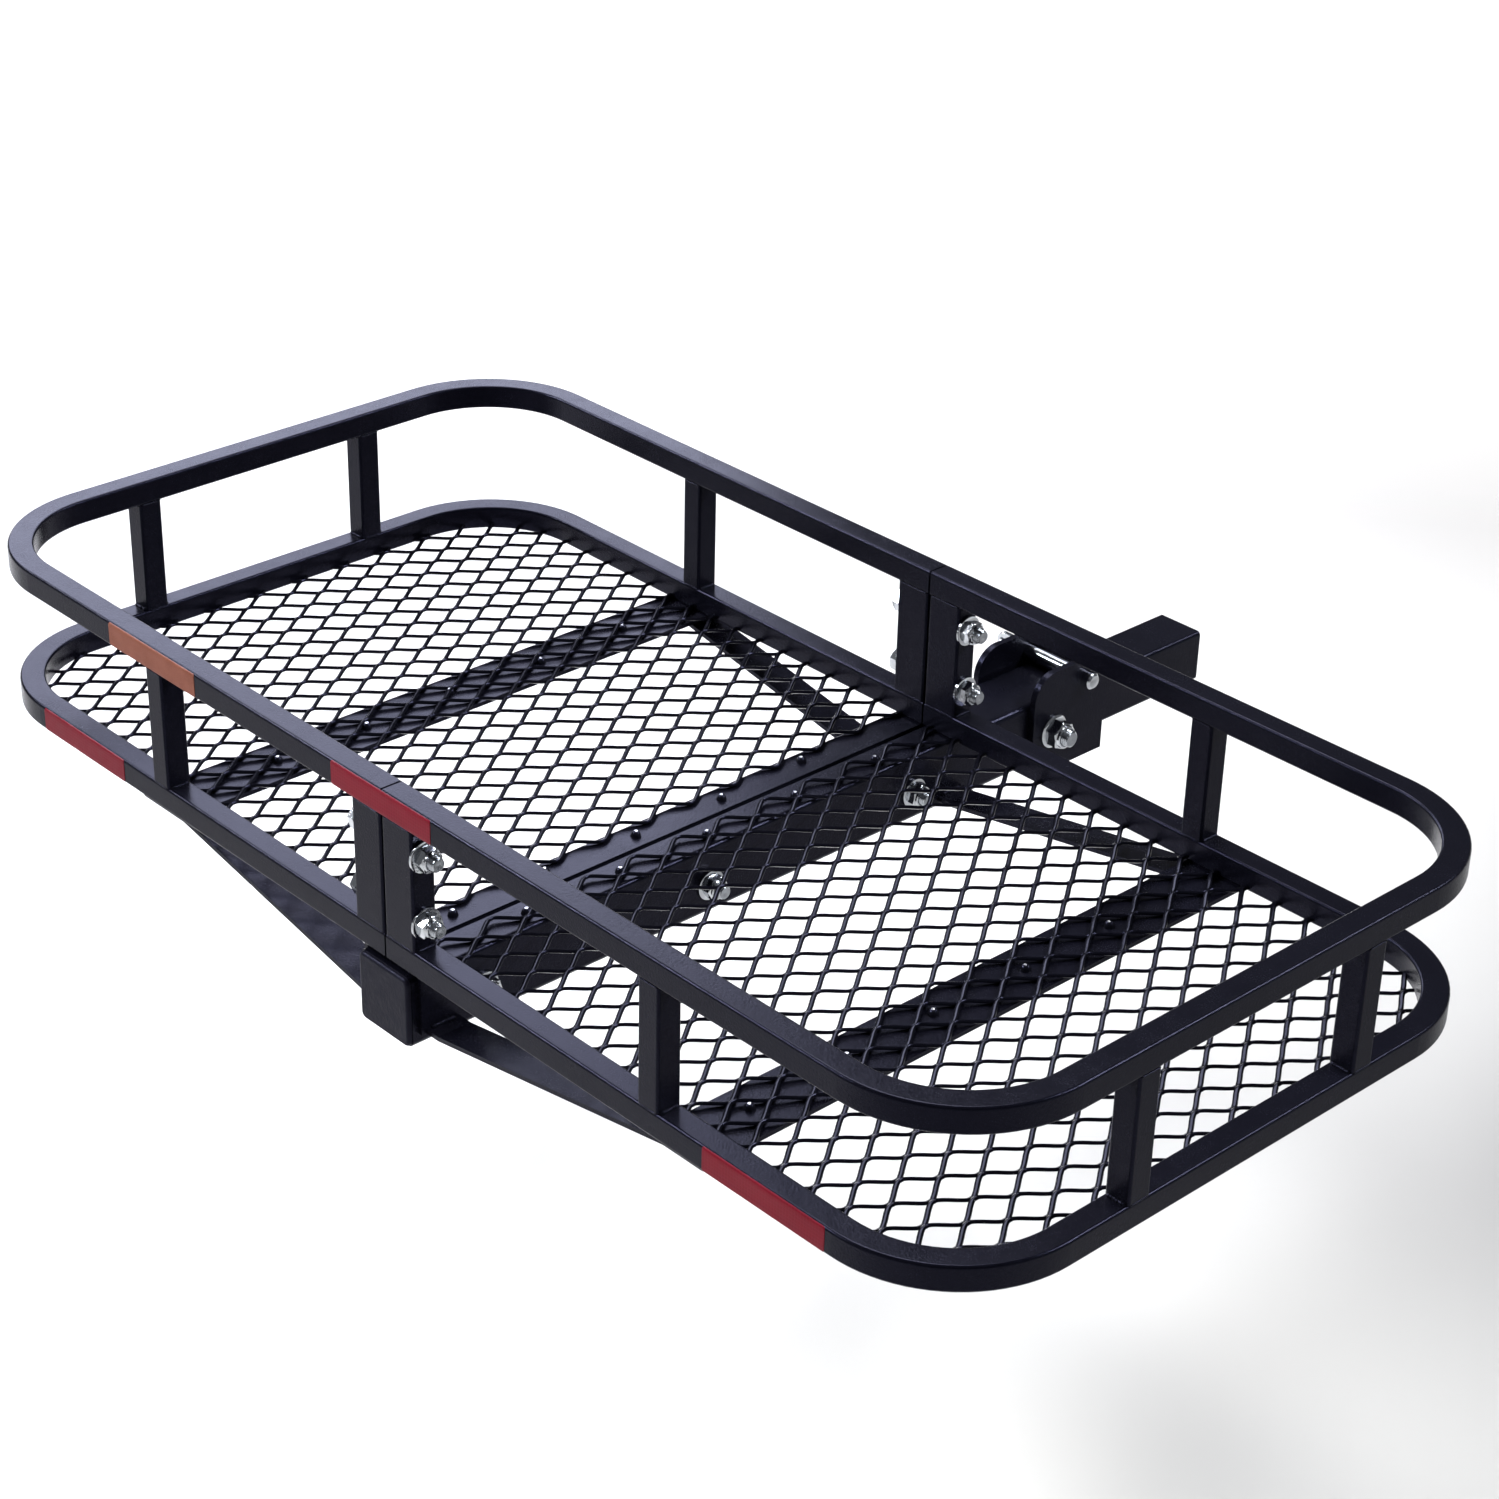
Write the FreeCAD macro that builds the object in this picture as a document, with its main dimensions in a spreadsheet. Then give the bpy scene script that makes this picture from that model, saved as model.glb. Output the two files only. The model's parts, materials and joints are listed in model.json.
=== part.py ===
import FreeCAD, Part
import math
import os
import Sketcher

# Two-piece basket cargo carrier on a folding hitch shank.
# Frame: origin at the centre of the hitch-pin hole, +X along the basket's long side,
# +Y towards the vehicle, +Z up. The shank and the main beam lie on the line x = 0, z = 0.

SIZES = {
    # basket of square tube, in two halves that meet at x = 0
    "basket_length": 1219.2,
    "basket_width": 609.6,
    "basket_height": 150.0,
    "pin_to_basket": 250.0,
    "rail_size": 22.2,
    "rail_wall": 1.6,
    "rail_edge": 2.4,
    "corner_radius": 114.3,
    "seam_gap": 2.0,
    "side_post_offset": 307.5,
    "end_post_offset": 122.0,
    "seam_post_width": 36.0,
    "seam_bolt_rise": 28.0,
    # expanded metal floor
    "mesh_thickness": 3.0,
    "mesh_seam_offset": 14.0,
    "mesh_strand": 3.4,
    "mesh_bond": 4.6,
    "mesh_clearance": 0.3,
    "left_cell_width": 31.0,
    "left_cell_length": 48.8,
    "left_bond_along": -241.4,
    "left_bond_across": 83.0,
    "right_cell_width": 32.6,
    "right_cell_length": 48.9,
    "right_bond_along": 173.4,
    "right_bond_across": 82.5,
    # flat bars and angles under the floor
    "strip_width": 57.0,
    "strip_thickness": 4.0,
    "strip_inset": 4.0,
    "left_strip_offset": 313.0,
    "right_strip_offset": 334.0,
    "angle_flange": 33.0,
    "angle_leg": 56.0,
    "angle_thickness": 4.0,
    "angle_inset": 6.0,
    "strap_width": 32.0,
    "strap_thickness": 4.0,
    "strap_foot_length": 14.0,
    "strap_tip_length": 15.0,
    "strap_tip_offset": 12.0,
    "strap_drop": 48.0,
    "rear_strap_inset": 10.5,
    "front_strap_inset": 3.0,
    # main beam and its plug
    "beam_size": 63.5,
    "beam_wall": 3.2,
    "beam_edge": 6.0,
    "beam_nose": 50.0,
    "beam_bolt_pitch": 238.0,
    "cap_depth": 18.0,
    "cap_wall": 2.5,
    "cap_flange": 4.0,
    "cap_margin": 0.8,
    "cap_round": 3.0,
    # half-inch fasteners of the seam and the beam
    "bolt_radius": 6.35,
    "hole_clearance": 0.25,
    "hex_circumradius": 11.0,
    "bolt_head": 8.0,
    "nut_height": 11.0,
    "washer_radius": 13.5,
    "washer_thickness": 2.4,
    "bolt_tail": 6.0,
    # folding shank
    "pivot_to_basket": 110.0,
    "shank_size": 50.8,
    "shank_wall": 6.35,
    "shank_edge": 4.0,
    "shank_end": 75.0,
    "hitch_hole_radius": 8.35,
    "cheek_thickness": 6.0,
    "cheek_gap": 0.5,
    "cheek_rear": 27.0,
    "cheek_top": 60.0,
    "cheek_bottom": 40.0,
    "cheek_round": 26.0,
    "web_offset": 61.0,
    "pivot_radius": 8.0,
    "pivot_clearance": 0.06,
    "pivot_hex": 13.86,
    "pivot_head": 10.0,
    "pivot_flange": 16.0,
    "flange_thickness": 3.0,
    "pivot_nut": 14.0,
    # stop pin with its pull ring
    "stop_offset": 40.0,
    "stop_radius": 7.94,
    "stop_clearance": 0.06,
    "stop_tip": 10.0,
    "collar_radius": 14.0,
    "collar_thickness": 6.0,
    "collar_gap": 0.3,
    "eye_length": 26.0,
    "eye_thickness": 5.0,
    "eye_radius": 2.4,
    "eye_inset": 6.0,
    "ring_radius": 13.0,
    "ring_wire": 1.6,
    # reflective tape and label on the rear rails
    "tape_length": 124.0,
    "tape_height": 20.0,
    "tape_thickness": 0.6,
    "left_tape_centre": -425.5,
    "right_tape_centre": 428.0,
    "label_centre": -308.0,
}

doc = FreeCAD.newDocument("hitch_cargo_carrier")
sheet = doc.addObject("Spreadsheet::Sheet", "Sizes")
for row, (alias, number) in enumerate(SIZES.items(), start=1):
    sheet.set(f"A{row}", alias)
    sheet.set(f"B{row}", str(number))
    sheet.setAlias(f"B{row}", alias)
doc.recompute()

PARTS = []
X_AXIS = FreeCAD.Vector(1, 0, 0)
Y_AXIS = FreeCAD.Vector(0, 1, 0)
Z_AXIS = FreeCAD.Vector(0, 0, 1)
SIDES = {"left": -1, "right": 1}

# Places that several pieces share, as expressions on the sheet.
S = "Sizes."
FLOOR = "(Sizes.beam_size / 2 + Sizes.angle_thickness)"
BASKET_Y = "(-Sizes.basket_width / 2 - Sizes.pin_to_basket)"
REAR_Y = "(-Sizes.basket_width - Sizes.pin_to_basket)"
FRONT_Y = "(-Sizes.pin_to_basket)"
RAIL_Y = "(Sizes.basket_width / 2 - Sizes.rail_size / 2)"
PIVOT_Y = "(Sizes.pivot_to_basket - Sizes.pin_to_basket)"
POST_HEIGHT = "(Sizes.basket_height - 2 * Sizes.rail_size)"
CHEEK_X = "(Sizes.beam_size / 2 + Sizes.cheek_gap)"
LEG_X = "(Sizes.beam_size / 2 + Sizes.angle_thickness)"
SEAM_X = "(Sizes.seam_gap / 2 + Sizes.seam_post_width)"


def size(name):
    """A driving dimension, read back from the sheet."""
    return float(sheet.get(name))


def keep(item, label):
    """Mark a finished sub-part, which gets the name of its file."""
    item.Label = label
    PARTS.append(item)
    return item


def place(item, x="0", y="0", z="0"):
    """Bind the item's position to expressions on the sheet."""
    for axis, expression in zip("xyz", (x, y, z)):
        item.setExpression(f"Placement.Base.{axis}", expression)


# ---------------------------------------------------------------- sketches and bodies

def new_body(label):
    return keep(doc.addObject("PartDesign::Body", label), label)


def new_sketch(body, name, role):
    """A sketch on one of the body's own origin planes."""
    sketch = body.newObject("Sketcher::SketchObject", name)
    plane = next(item for item in body.Origin.OriginFeatures if item.Role == role)
    sketch.AttachmentSupport = (plane, [""])
    sketch.MapMode = "FlatFace"
    return sketch


def bind(sketch, constraint, name, expression):
    """Add a dimension to the sketch and drive it from the sheet."""
    index = sketch.addConstraint(constraint)
    sketch.renameConstraint(index, name)
    sketch.setExpression(f"Constraints.{name}", expression)


def rounded_rectangle(sketch, name, width, height, radius, values):
    """A rectangle with round corners, centred on the sketch's origin."""
    half_x, half_y, round_ = values[0] / 2, values[1] / 2, values[2]
    corners = [(1, 1), (-1, 1), (-1, -1), (1, -1)]
    arcs = []
    for number, (sign_x, sign_y) in enumerate(corners):
        centre = FreeCAD.Vector(sign_x * (half_x - round_), sign_y * (half_y - round_), 0)
        start = number * math.pi / 2
        circle = Part.Circle(centre, Z_AXIS, round_)
        arcs.append(sketch.addGeometry(Part.ArcOfCircle(circle, start, start + math.pi / 2)))
    lines = []
    for number in range(4):
        first = sketch.Geometry[arcs[number]].EndPoint
        last = sketch.Geometry[arcs[(number + 1) % 4]].StartPoint
        lines.append(sketch.addGeometry(Part.LineSegment(first, last)))
    for number, line in enumerate(lines):
        sketch.addConstraint(Sketcher.Constraint("Tangent", arcs[number], 2, line, 1))
        sketch.addConstraint(Sketcher.Constraint("Tangent", line, 2, arcs[(number + 1) % 4], 1))
    for arc in arcs[1:]:
        sketch.addConstraint(Sketcher.Constraint("Equal", arcs[0], arc))
    for number, line in enumerate(lines):
        kind = "Horizontal" if number % 2 == 0 else "Vertical"
        sketch.addConstraint(Sketcher.Constraint(kind, line))
    sketch.addConstraint(Sketcher.Constraint("Symmetric", arcs[0], 3, arcs[2], 3, -1, 1))
    bind(sketch, Sketcher.Constraint("Radius", arcs[0], round_), name + "_radius", radius)
    span_x = Sketcher.Constraint("DistanceX", lines[1], 1, lines[3], 1, values[0])
    bind(sketch, span_x, name + "_width", width)
    span_y = Sketcher.Constraint("DistanceY", lines[2], 1, lines[0], 1, values[1])
    bind(sketch, span_y, name + "_height", height)


def tube_profile(sketch, width, depth, wall, edge):
    """Outer and inner outline of a rectangular tube; the arguments are names on the sheet."""
    outer = (size(width), size(depth), size(edge))
    rounded_rectangle(sketch, "outer", S + width, S + depth, S + edge, outer)
    inner_edge = max(size(edge) - size(wall), 0.5)
    inner = (size(width) - 2 * size(wall), size(depth) - 2 * size(wall), inner_edge)
    rounded_rectangle(sketch, "inner", f"{S}{width} - 2 * {S}{wall}", f"{S}{depth} - 2 * {S}{wall}",
                      f"max({S}{edge} - {S}{wall}; 0.5)", inner)


def holes(body, name, role, circles, reach):
    """Cut round holes through the body; circles are (u, v, radius) expressions with values."""
    sketch = new_sketch(body, name + "_sketch", role)
    for number, ((u, v, radius), (u0, v0, r0)) in enumerate(circles):
        circle = sketch.addGeometry(Part.Circle(FreeCAD.Vector(u0, v0, 0), Z_AXIS, r0))
        bind(sketch, Sketcher.Constraint("Radius", circle, r0), f"hole_{number}_radius", radius)
        for key, kind, expression, value in (("u", "DistanceX", u, u0), ("v", "DistanceY", v, v0)):
            if value == 0:
                axis = -2 if key == "u" else -1
                sketch.addConstraint(Sketcher.Constraint("PointOnObject", circle, 3, axis))
            else:
                sign, shown = ("-", -value) if value < 0 else ("", value)
                ends = (circle, 3, -1, 1) if value < 0 else (-1, 1, circle, 3)
                constraint = Sketcher.Constraint(kind, *ends, shown)
                bind(sketch, constraint, f"hole_{number}_{key}", f"{sign}({expression})")
    before = body.Tip.Shape.Volume
    pocket = body.newObject("PartDesign::Pocket", name)
    pocket.Profile = sketch
    pocket.Midplane = True
    pocket.Length = reach
    doc.recompute()
    if not pocket.Shape.Volume < before:
        raise RuntimeError(f"{body.Label}: {name} cut nothing")


# ---------------------------------------------------------------- basket frame

def u_rail(label, side, height):
    """A square tube bent into a U: half of a basket ring, with its open ends at the seam."""
    body = new_body(label)
    half_gap = size("seam_gap") / 2
    reach = size("basket_length") / 2 - size("rail_size") / 2
    depth = size("basket_width") / 2 - size("rail_size") / 2
    bend = size("corner_radius") - size("rail_size") / 2
    path = new_sketch(body, "path", "XY_Plane")

    def point(x, y):
        return FreeCAD.Vector(side * x, y, 0)

    def bend_arc(y_sign):
        centre = point(reach - bend, y_sign * (depth - bend))
        middle = centre + FreeCAD.Vector(side, y_sign, 0) * (bend / math.sqrt(2))
        ends = [point(reach - bend, y_sign * depth), point(reach, y_sign * (depth - bend))]
        if y_sign > 0:
            ends.reverse()
        return Part.Arc(ends[0], middle, ends[1])

    rear = path.addGeometry(Part.LineSegment(point(half_gap, -depth), point(reach - bend, -depth)))
    rear_bend = path.addGeometry(bend_arc(-1))
    end = path.addGeometry(Part.LineSegment(point(reach, bend - depth), point(reach, depth - bend)))
    front_bend = path.addGeometry(bend_arc(1))
    front = path.addGeometry(Part.LineSegment(point(reach - bend, depth), point(half_gap, depth)))
    # an arc is stored anticlockwise, so on the left half its start and end change places
    into, out_of = (1, 2) if side > 0 else (2, 1)
    for line, place_, arc, arc_place in ((rear, 2, rear_bend, into), (end, 1, rear_bend, out_of),
                                         (end, 2, front_bend, into), (front, 1, front_bend, out_of)):
        path.addConstraint(Sketcher.Constraint("Tangent", line, place_, arc, arc_place))
    path.addConstraint(Sketcher.Constraint("Horizontal", rear))
    path.addConstraint(Sketcher.Constraint("Vertical", end))
    path.addConstraint(Sketcher.Constraint("Horizontal", front))
    path.addConstraint(Sketcher.Constraint("Equal", rear_bend, front_bend))
    path.addConstraint(Sketcher.Constraint("Symmetric", rear, 1, front, 2, -1))
    bind(path, Sketcher.Constraint("Radius", rear_bend, bend), "bend",
         "Sizes.corner_radius - Sizes.rail_size / 2")
    out = (-1, 1, rear, 1) if side > 0 else (rear, 1, -1, 1)
    bind(path, Sketcher.Constraint("DistanceX", *out, half_gap), "gap", "Sizes.seam_gap / 2")
    out = (-1, 1, end, 1) if side > 0 else (end, 1, -1, 1)
    bind(path, Sketcher.Constraint("DistanceX", *out, reach), "reach",
         "Sizes.basket_length / 2 - Sizes.rail_size / 2")
    bind(path, Sketcher.Constraint("DistanceY", rear, 1, -1, 1, depth), "depth", RAIL_Y)

    profile = new_sketch(body, "profile", "YZ_Plane")
    profile.setExpression("AttachmentOffset.Base.x", "-" + RAIL_Y)
    profile.setExpression("AttachmentOffset.Base.z", f"{side} * Sizes.seam_gap / 2")
    tube_profile(profile, "rail_size", "rail_size", "rail_wall", "rail_edge")
    doc.recompute()
    pipe = body.newObject("PartDesign::AdditivePipe", "pipe")
    pipe.Profile = profile
    pipe.Spine = (path, [f"Edge{number}" for number in range(1, 6)])
    place(body, "0", BASKET_Y, f"{FLOOR} + {height}")


def upright(label, x, y, width, bolt_rises=()):
    """A post of tube between the lower and the upper rail, with holes for the seam bolts."""
    body = new_body(label)
    profile = new_sketch(body, "profile", "XY_Plane")
    tube_profile(profile, width, "rail_size", "rail_wall", "rail_edge")
    pad = body.newObject("PartDesign::Pad", "pad")
    pad.Profile = profile
    pad.setExpression("Length", POST_HEIGHT)
    if bolt_rises:
        doc.recompute()
        middle = size("basket_height") / 2 - size("rail_size")
        radius = size("bolt_radius") + size("hole_clearance")
        circles = [
            (("0", f"{POST_HEIGHT} / 2 + {sign} * Sizes.seam_bolt_rise",
              "Sizes.bolt_radius + Sizes.hole_clearance"),
             (0, middle + sign * size("seam_bolt_rise"), radius))
            for sign in bolt_rises
        ]
        holes(body, "bolt_holes", "YZ_Plane", circles, 4 * size(width))
    place(body, x, y, f"{FLOOR} + Sizes.rail_size")


def half_frame(side_name, side):
    """The rails and posts of one half of the basket."""
    u_rail(side_name + "_lower_rail", side, "Sizes.rail_size / 2")
    u_rail(side_name + "_upper_rail", side, "Sizes.basket_height - Sizes.rail_size / 2")
    end_x = f"{side} * (Sizes.basket_length / 2 - Sizes.rail_size / 2)"
    seam_x = f"{side} * (Sizes.seam_gap / 2 + Sizes.seam_post_width / 2)"
    for row_name, row_sign in (("rear", -1), ("front", 1)):
        rail_y = f"{BASKET_Y} + {row_sign} * {RAIL_Y}"
        upright(f"{side_name}_{row_name}_post", f"{side} * Sizes.side_post_offset", rail_y, "rail_size")
        end_y = f"{BASKET_Y} + {row_sign} * Sizes.end_post_offset"
        upright(f"{side_name}_end_{row_name}_post", end_x, end_y, "rail_size")
        upright(f"{side_name}_{row_name}_seam_post", seam_x, rail_y, "seam_post_width", (-1, 1))


# ---------------------------------------------------------------- floor and its supports

def mesh_outline(side, border):
    """Outline of one floor panel, inset by a border: square at the seam, round at the bends."""
    margin = size("rail_size") + size("mesh_clearance") + border
    reach = size("basket_length") / 2 - margin
    depth = size("basket_width") / 2 - margin
    bend = size("corner_radius") - margin
    inner = size("mesh_seam_offset") + border

    def point(x, y):
        return FreeCAD.Vector(side * x, y, 0)

    def bend_middle(y_sign):
        offset = bend / math.sqrt(2)
        return point(reach - bend + offset, y_sign * (depth - bend + offset))

    edges = [
        Part.LineSegment(point(inner, -depth), point(reach - bend, -depth)).toShape(),
        Part.Arc(point(reach - bend, -depth), bend_middle(-1), point(reach, bend - depth)).toShape(),
        Part.LineSegment(point(reach, bend - depth), point(reach, depth - bend)).toShape(),
        Part.Arc(point(reach, depth - bend), bend_middle(1), point(reach - bend, depth)).toShape(),
        Part.LineSegment(point(reach - bend, depth), point(inner, depth)).toShape(),
        Part.LineSegment(point(inner, depth), point(inner, -depth)).toShape(),
    ]
    return Part.Face(Part.Wire(edges))


def diamond(centre_x, centre_y, width, length):
    """The opening of one cell: its long way is front to back, its sides stop square at the bonds."""
    side_x = width / 2 - size("mesh_strand")
    flat_y = size("mesh_bond") / 2
    tip_y = length / 2 - flat_y
    corners = [(side_x, -flat_y), (side_x, flat_y), (0, tip_y), (-side_x, flat_y), (-side_x, -flat_y),
               (0, -tip_y)]
    points = [FreeCAD.Vector(centre_x + x, centre_y + y, 0) for x, y in corners]
    return Part.Face(Part.makePolygon(points + points[:1]))


def cell_centres(side_name, side):
    """Centres of one panel's cells, in staggered columns counted from one of its bonds."""
    width, length = size(side_name + "_cell_width"), size(side_name + "_cell_length")
    columns = int(size("basket_length") / width)
    rows = int(size("basket_width") / length)
    for column in range(-columns, columns + 1):
        x = size(side_name + "_bond_along") + column * width / 2
        if not 0 < side * x < size("basket_length") / 2:
            continue
        stagger = 0.5 + column % 2 / 2
        for row_ in range(-rows, rows + 1):
            yield x, size(side_name + "_bond_across") + (row_ + stagger) * length


def floor_mesh(side_name, side):
    """One panel of expanded metal: diamond cells cut off at a narrow border."""
    width, length = size(side_name + "_cell_width"), size(side_name + "_cell_length")
    cells = [diamond(x, y, width, length) for x, y in cell_centres(side_name, side)]
    window = mesh_outline(side, size("mesh_strand") / 2)
    openings = [face for face in window.common(Part.makeCompound(cells)).Faces
                if face.Area > size("mesh_strand") ** 2]
    panel = mesh_outline(side, 0).cut(Part.makeCompound(openings))
    solid = panel.extrude(FreeCAD.Vector(0, 0, size("mesh_thickness"))).Solids[0]
    mesh = doc.addObject("Part::Feature", side_name + "_floor_mesh")
    mesh.Shape = solid
    place(mesh, "0", BASKET_Y, FLOOR)
    keep(mesh, side_name + "_floor_mesh")


def bar(label, length, width, height, corner):
    """A rectangular bar; every argument but the label is an expression."""
    box = doc.addObject("Part::Box", label)
    box.setExpression("Length", length)
    box.setExpression("Width", width)
    box.setExpression("Height", height)
    place(box, *corner)
    return box


def cross_strip(side_name, side):
    """A flat bar front to back under the rails, which carries the middle of the mesh."""
    offset = f"Sizes.{side_name}_strip_offset"
    corner = (f"{side} * {offset} - Sizes.strip_width / 2", f"{REAR_Y} + Sizes.strip_inset",
              f"{FLOOR} - Sizes.strip_thickness")
    keep(bar(side_name + "_cross_strip", "Sizes.strip_width",
             "Sizes.basket_width - 2 * Sizes.strip_inset", "Sizes.strip_thickness", corner),
         side_name + "_cross_strip")


def beam_hole_circles():
    """The three bolt holes of the beam on the YZ plane, as expressions and values."""
    radius = size("bolt_radius") + size("hole_clearance")
    circles = []
    for step in (-1, 0, 1):
        place_ = f"{BASKET_Y} + {step} * Sizes.beam_bolt_pitch"
        value = -size("basket_width") / 2 - size("pin_to_basket") + step * size("beam_bolt_pitch")
        circles.append(((place_, "0", "Sizes.bolt_radius + Sizes.hole_clearance"), (value, 0, radius)))
    return circles


def seam_angle(side_name, side):
    """An angle along the seam: its flange carries the mesh, its leg hangs beside the beam."""
    body = new_body(side_name + "_seam_angle")
    profile = new_sketch(body, "profile", "XZ_Plane")
    thick = size("angle_thickness")
    outer = size("beam_size") / 2 + thick
    top = outer
    inner = outer - size("angle_flange")
    low = top - size("angle_leg")
    corners = [(inner, top), (outer, top), (outer, low), (outer - thick, low),
               (outer - thick, top - thick), (inner, top - thick)]
    points = [FreeCAD.Vector(side * x, z, 0) for x, z in corners]
    for number, start in enumerate(points):
        profile.addGeometry(Part.LineSegment(start, points[(number + 1) % 6]))
    for number in range(6):
        profile.addConstraint(Sketcher.Constraint("Coincident", number, 2, (number + 1) % 6, 1))
        kind = "Horizontal" if number % 2 == 0 else "Vertical"
        profile.addConstraint(Sketcher.Constraint(kind, number))
    out = (-1, 1, 0, 2) if side > 0 else (0, 2, -1, 1)
    bind(profile, Sketcher.Constraint("DistanceX", *out, outer), "outer", LEG_X)
    bind(profile, Sketcher.Constraint("DistanceY", -1, 1, 0, 2, top), "top", LEG_X)
    ends = (0, 1, 0, 2) if side > 0 else (0, 2, 0, 1)
    bind(profile, Sketcher.Constraint("DistanceX", *ends, size("angle_flange")), "flange",
         "Sizes.angle_flange")
    bind(profile, Sketcher.Constraint("DistanceY", 1, 2, 1, 1, size("angle_leg")), "leg",
         "Sizes.angle_leg")
    ends = (2, 2, 2, 1) if side > 0 else (2, 1, 2, 2)
    bind(profile, Sketcher.Constraint("DistanceX", *ends, thick), "leg_thickness",
         "Sizes.angle_thickness")
    bind(profile, Sketcher.Constraint("DistanceY", 5, 1, 5, 2, thick), "flange_thickness",
         "Sizes.angle_thickness")
    profile.setExpression("AttachmentOffset.Base.z", "Sizes.pin_to_basket + Sizes.angle_inset")
    pad = body.newObject("PartDesign::Pad", "pad")
    pad.Profile = profile
    pad.setExpression("Length", "Sizes.basket_width - 2 * Sizes.angle_inset")
    doc.recompute()
    outer_edges = [f"Edge{number}" for number, edge in enumerate(pad.Shape.Edges, start=1)
                   if edge.Length > size("basket_width") / 2
                   and abs(abs(edge.CenterOfMass.x) - outer) < 0.01
                   and abs(edge.CenterOfMass.z - top) < 0.01]
    fillet = body.newObject("PartDesign::Fillet", "heel")
    fillet.Base = (pad, outer_edges)
    fillet.setExpression("Radius", "Sizes.angle_thickness * 0.9")
    doc.recompute()
    holes(body, "bolt_holes", "YZ_Plane", beam_hole_circles(), 4 * size("beam_size"))


def truss_strap(end_name, side_name, side):
    """A flat bar from the angle's leg up to the cross strip, with a short level end at each side."""
    body = new_body(f"{end_name}_{side_name}_strap")
    profile = new_sketch(body, "profile", "XZ_Plane")
    thick = size("strap_thickness")
    leg_x = size("beam_size") / 2 + size("angle_thickness")
    top = size("beam_size") / 2
    foot = leg_x + size("strap_foot_length")
    tip = size(side_name + "_strip_offset") + size("strap_tip_offset")
    bend = tip - size("strap_tip_length")
    line = [(leg_x, top - size("strap_drop")), (foot, top - size("strap_drop")), (bend, top), (tip, top)]
    upper = [FreeCAD.Vector(side * x, z, 0) for x, z in line]
    lower = [FreeCAD.Vector(side * x, z - thick, 0) for x, z in reversed(line)]
    points = upper + lower
    count = len(points)
    for number, start in enumerate(points):
        profile.addGeometry(Part.LineSegment(start, points[(number + 1) % count]))
    for number in range(count):
        profile.addConstraint(Sketcher.Constraint("Coincident", number, 2, (number + 1) % count, 1))
    for level in (0, 2, 4, 6):
        profile.addConstraint(Sketcher.Constraint("Horizontal", level))
    for end in (3, 7):
        profile.addConstraint(Sketcher.Constraint("Vertical", end))
    profile.addConstraint(Sketcher.Constraint("Parallel", 1, 5))

    def across(vertex, value, name, expression):
        ends = (-1, 1, vertex, 1) if side > 0 else (vertex, 1, -1, 1)
        bind(profile, Sketcher.Constraint("DistanceX", *ends, value), name, expression)

    across(0, leg_x, "leg", LEG_X)
    across(1, foot, "foot", f"{LEG_X} + Sizes.strap_foot_length")
    tip_place = f"Sizes.{side_name}_strip_offset + Sizes.strap_tip_offset"
    across(2, bend, "bend", f"{tip_place} - Sizes.strap_tip_length")
    across(3, tip, "tip", tip_place)
    across(5, bend, "lower_bend", f"{tip_place} - Sizes.strap_tip_length")
    bind(profile, Sketcher.Constraint("DistanceY", -1, 1, 3, 1, top), "top", "Sizes.beam_size / 2")
    bind(profile, Sketcher.Constraint("DistanceY", 1, 1, 3, 1, size("strap_drop")), "drop",
         "Sizes.strap_drop")
    bind(profile, Sketcher.Constraint("DistanceY", 3, 2, 3, 1, thick), "thickness",
         "Sizes.strap_thickness")
    if end_name == "rear":
        profile.setExpression("AttachmentOffset.Base.z", "Sizes.pin_to_basket + Sizes.basket_width"
                              " - Sizes.rear_strap_inset - Sizes.strap_width")
    else:
        profile.setExpression("AttachmentOffset.Base.z",
                              "Sizes.pin_to_basket + Sizes.front_strap_inset")
    pad = body.newObject("PartDesign::Pad", "pad")
    pad.Profile = profile
    pad.setExpression("Length", "Sizes.strap_width")


# ---------------------------------------------------------------- main beam

def main_beam():
    """The square tube under the seam, from the basket's rear edge to a nose past the pivot."""
    body = new_body("main_beam")
    profile = new_sketch(body, "profile", "XZ_Plane")
    profile.setExpression("AttachmentOffset.Base.z", f"-({PIVOT_Y} + Sizes.beam_nose)")
    tube_profile(profile, "beam_size", "beam_size", "beam_wall", "beam_edge")
    pad = body.newObject("PartDesign::Pad", "pad")
    pad.Profile = profile
    pad.setExpression("Length", f"{PIVOT_Y} + Sizes.beam_nose - {REAR_Y}")
    doc.recompute()
    circles = beam_hole_circles()
    pivot_y = size("pivot_to_basket") - size("pin_to_basket")
    bore = size("pivot_radius") + size("pivot_clearance")
    circles.append(((PIVOT_Y, "0", "Sizes.pivot_radius + Sizes.pivot_clearance"), (pivot_y, 0, bore)))
    holes(body, "cross_holes", "YZ_Plane", circles, 4 * size("beam_size"))


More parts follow.
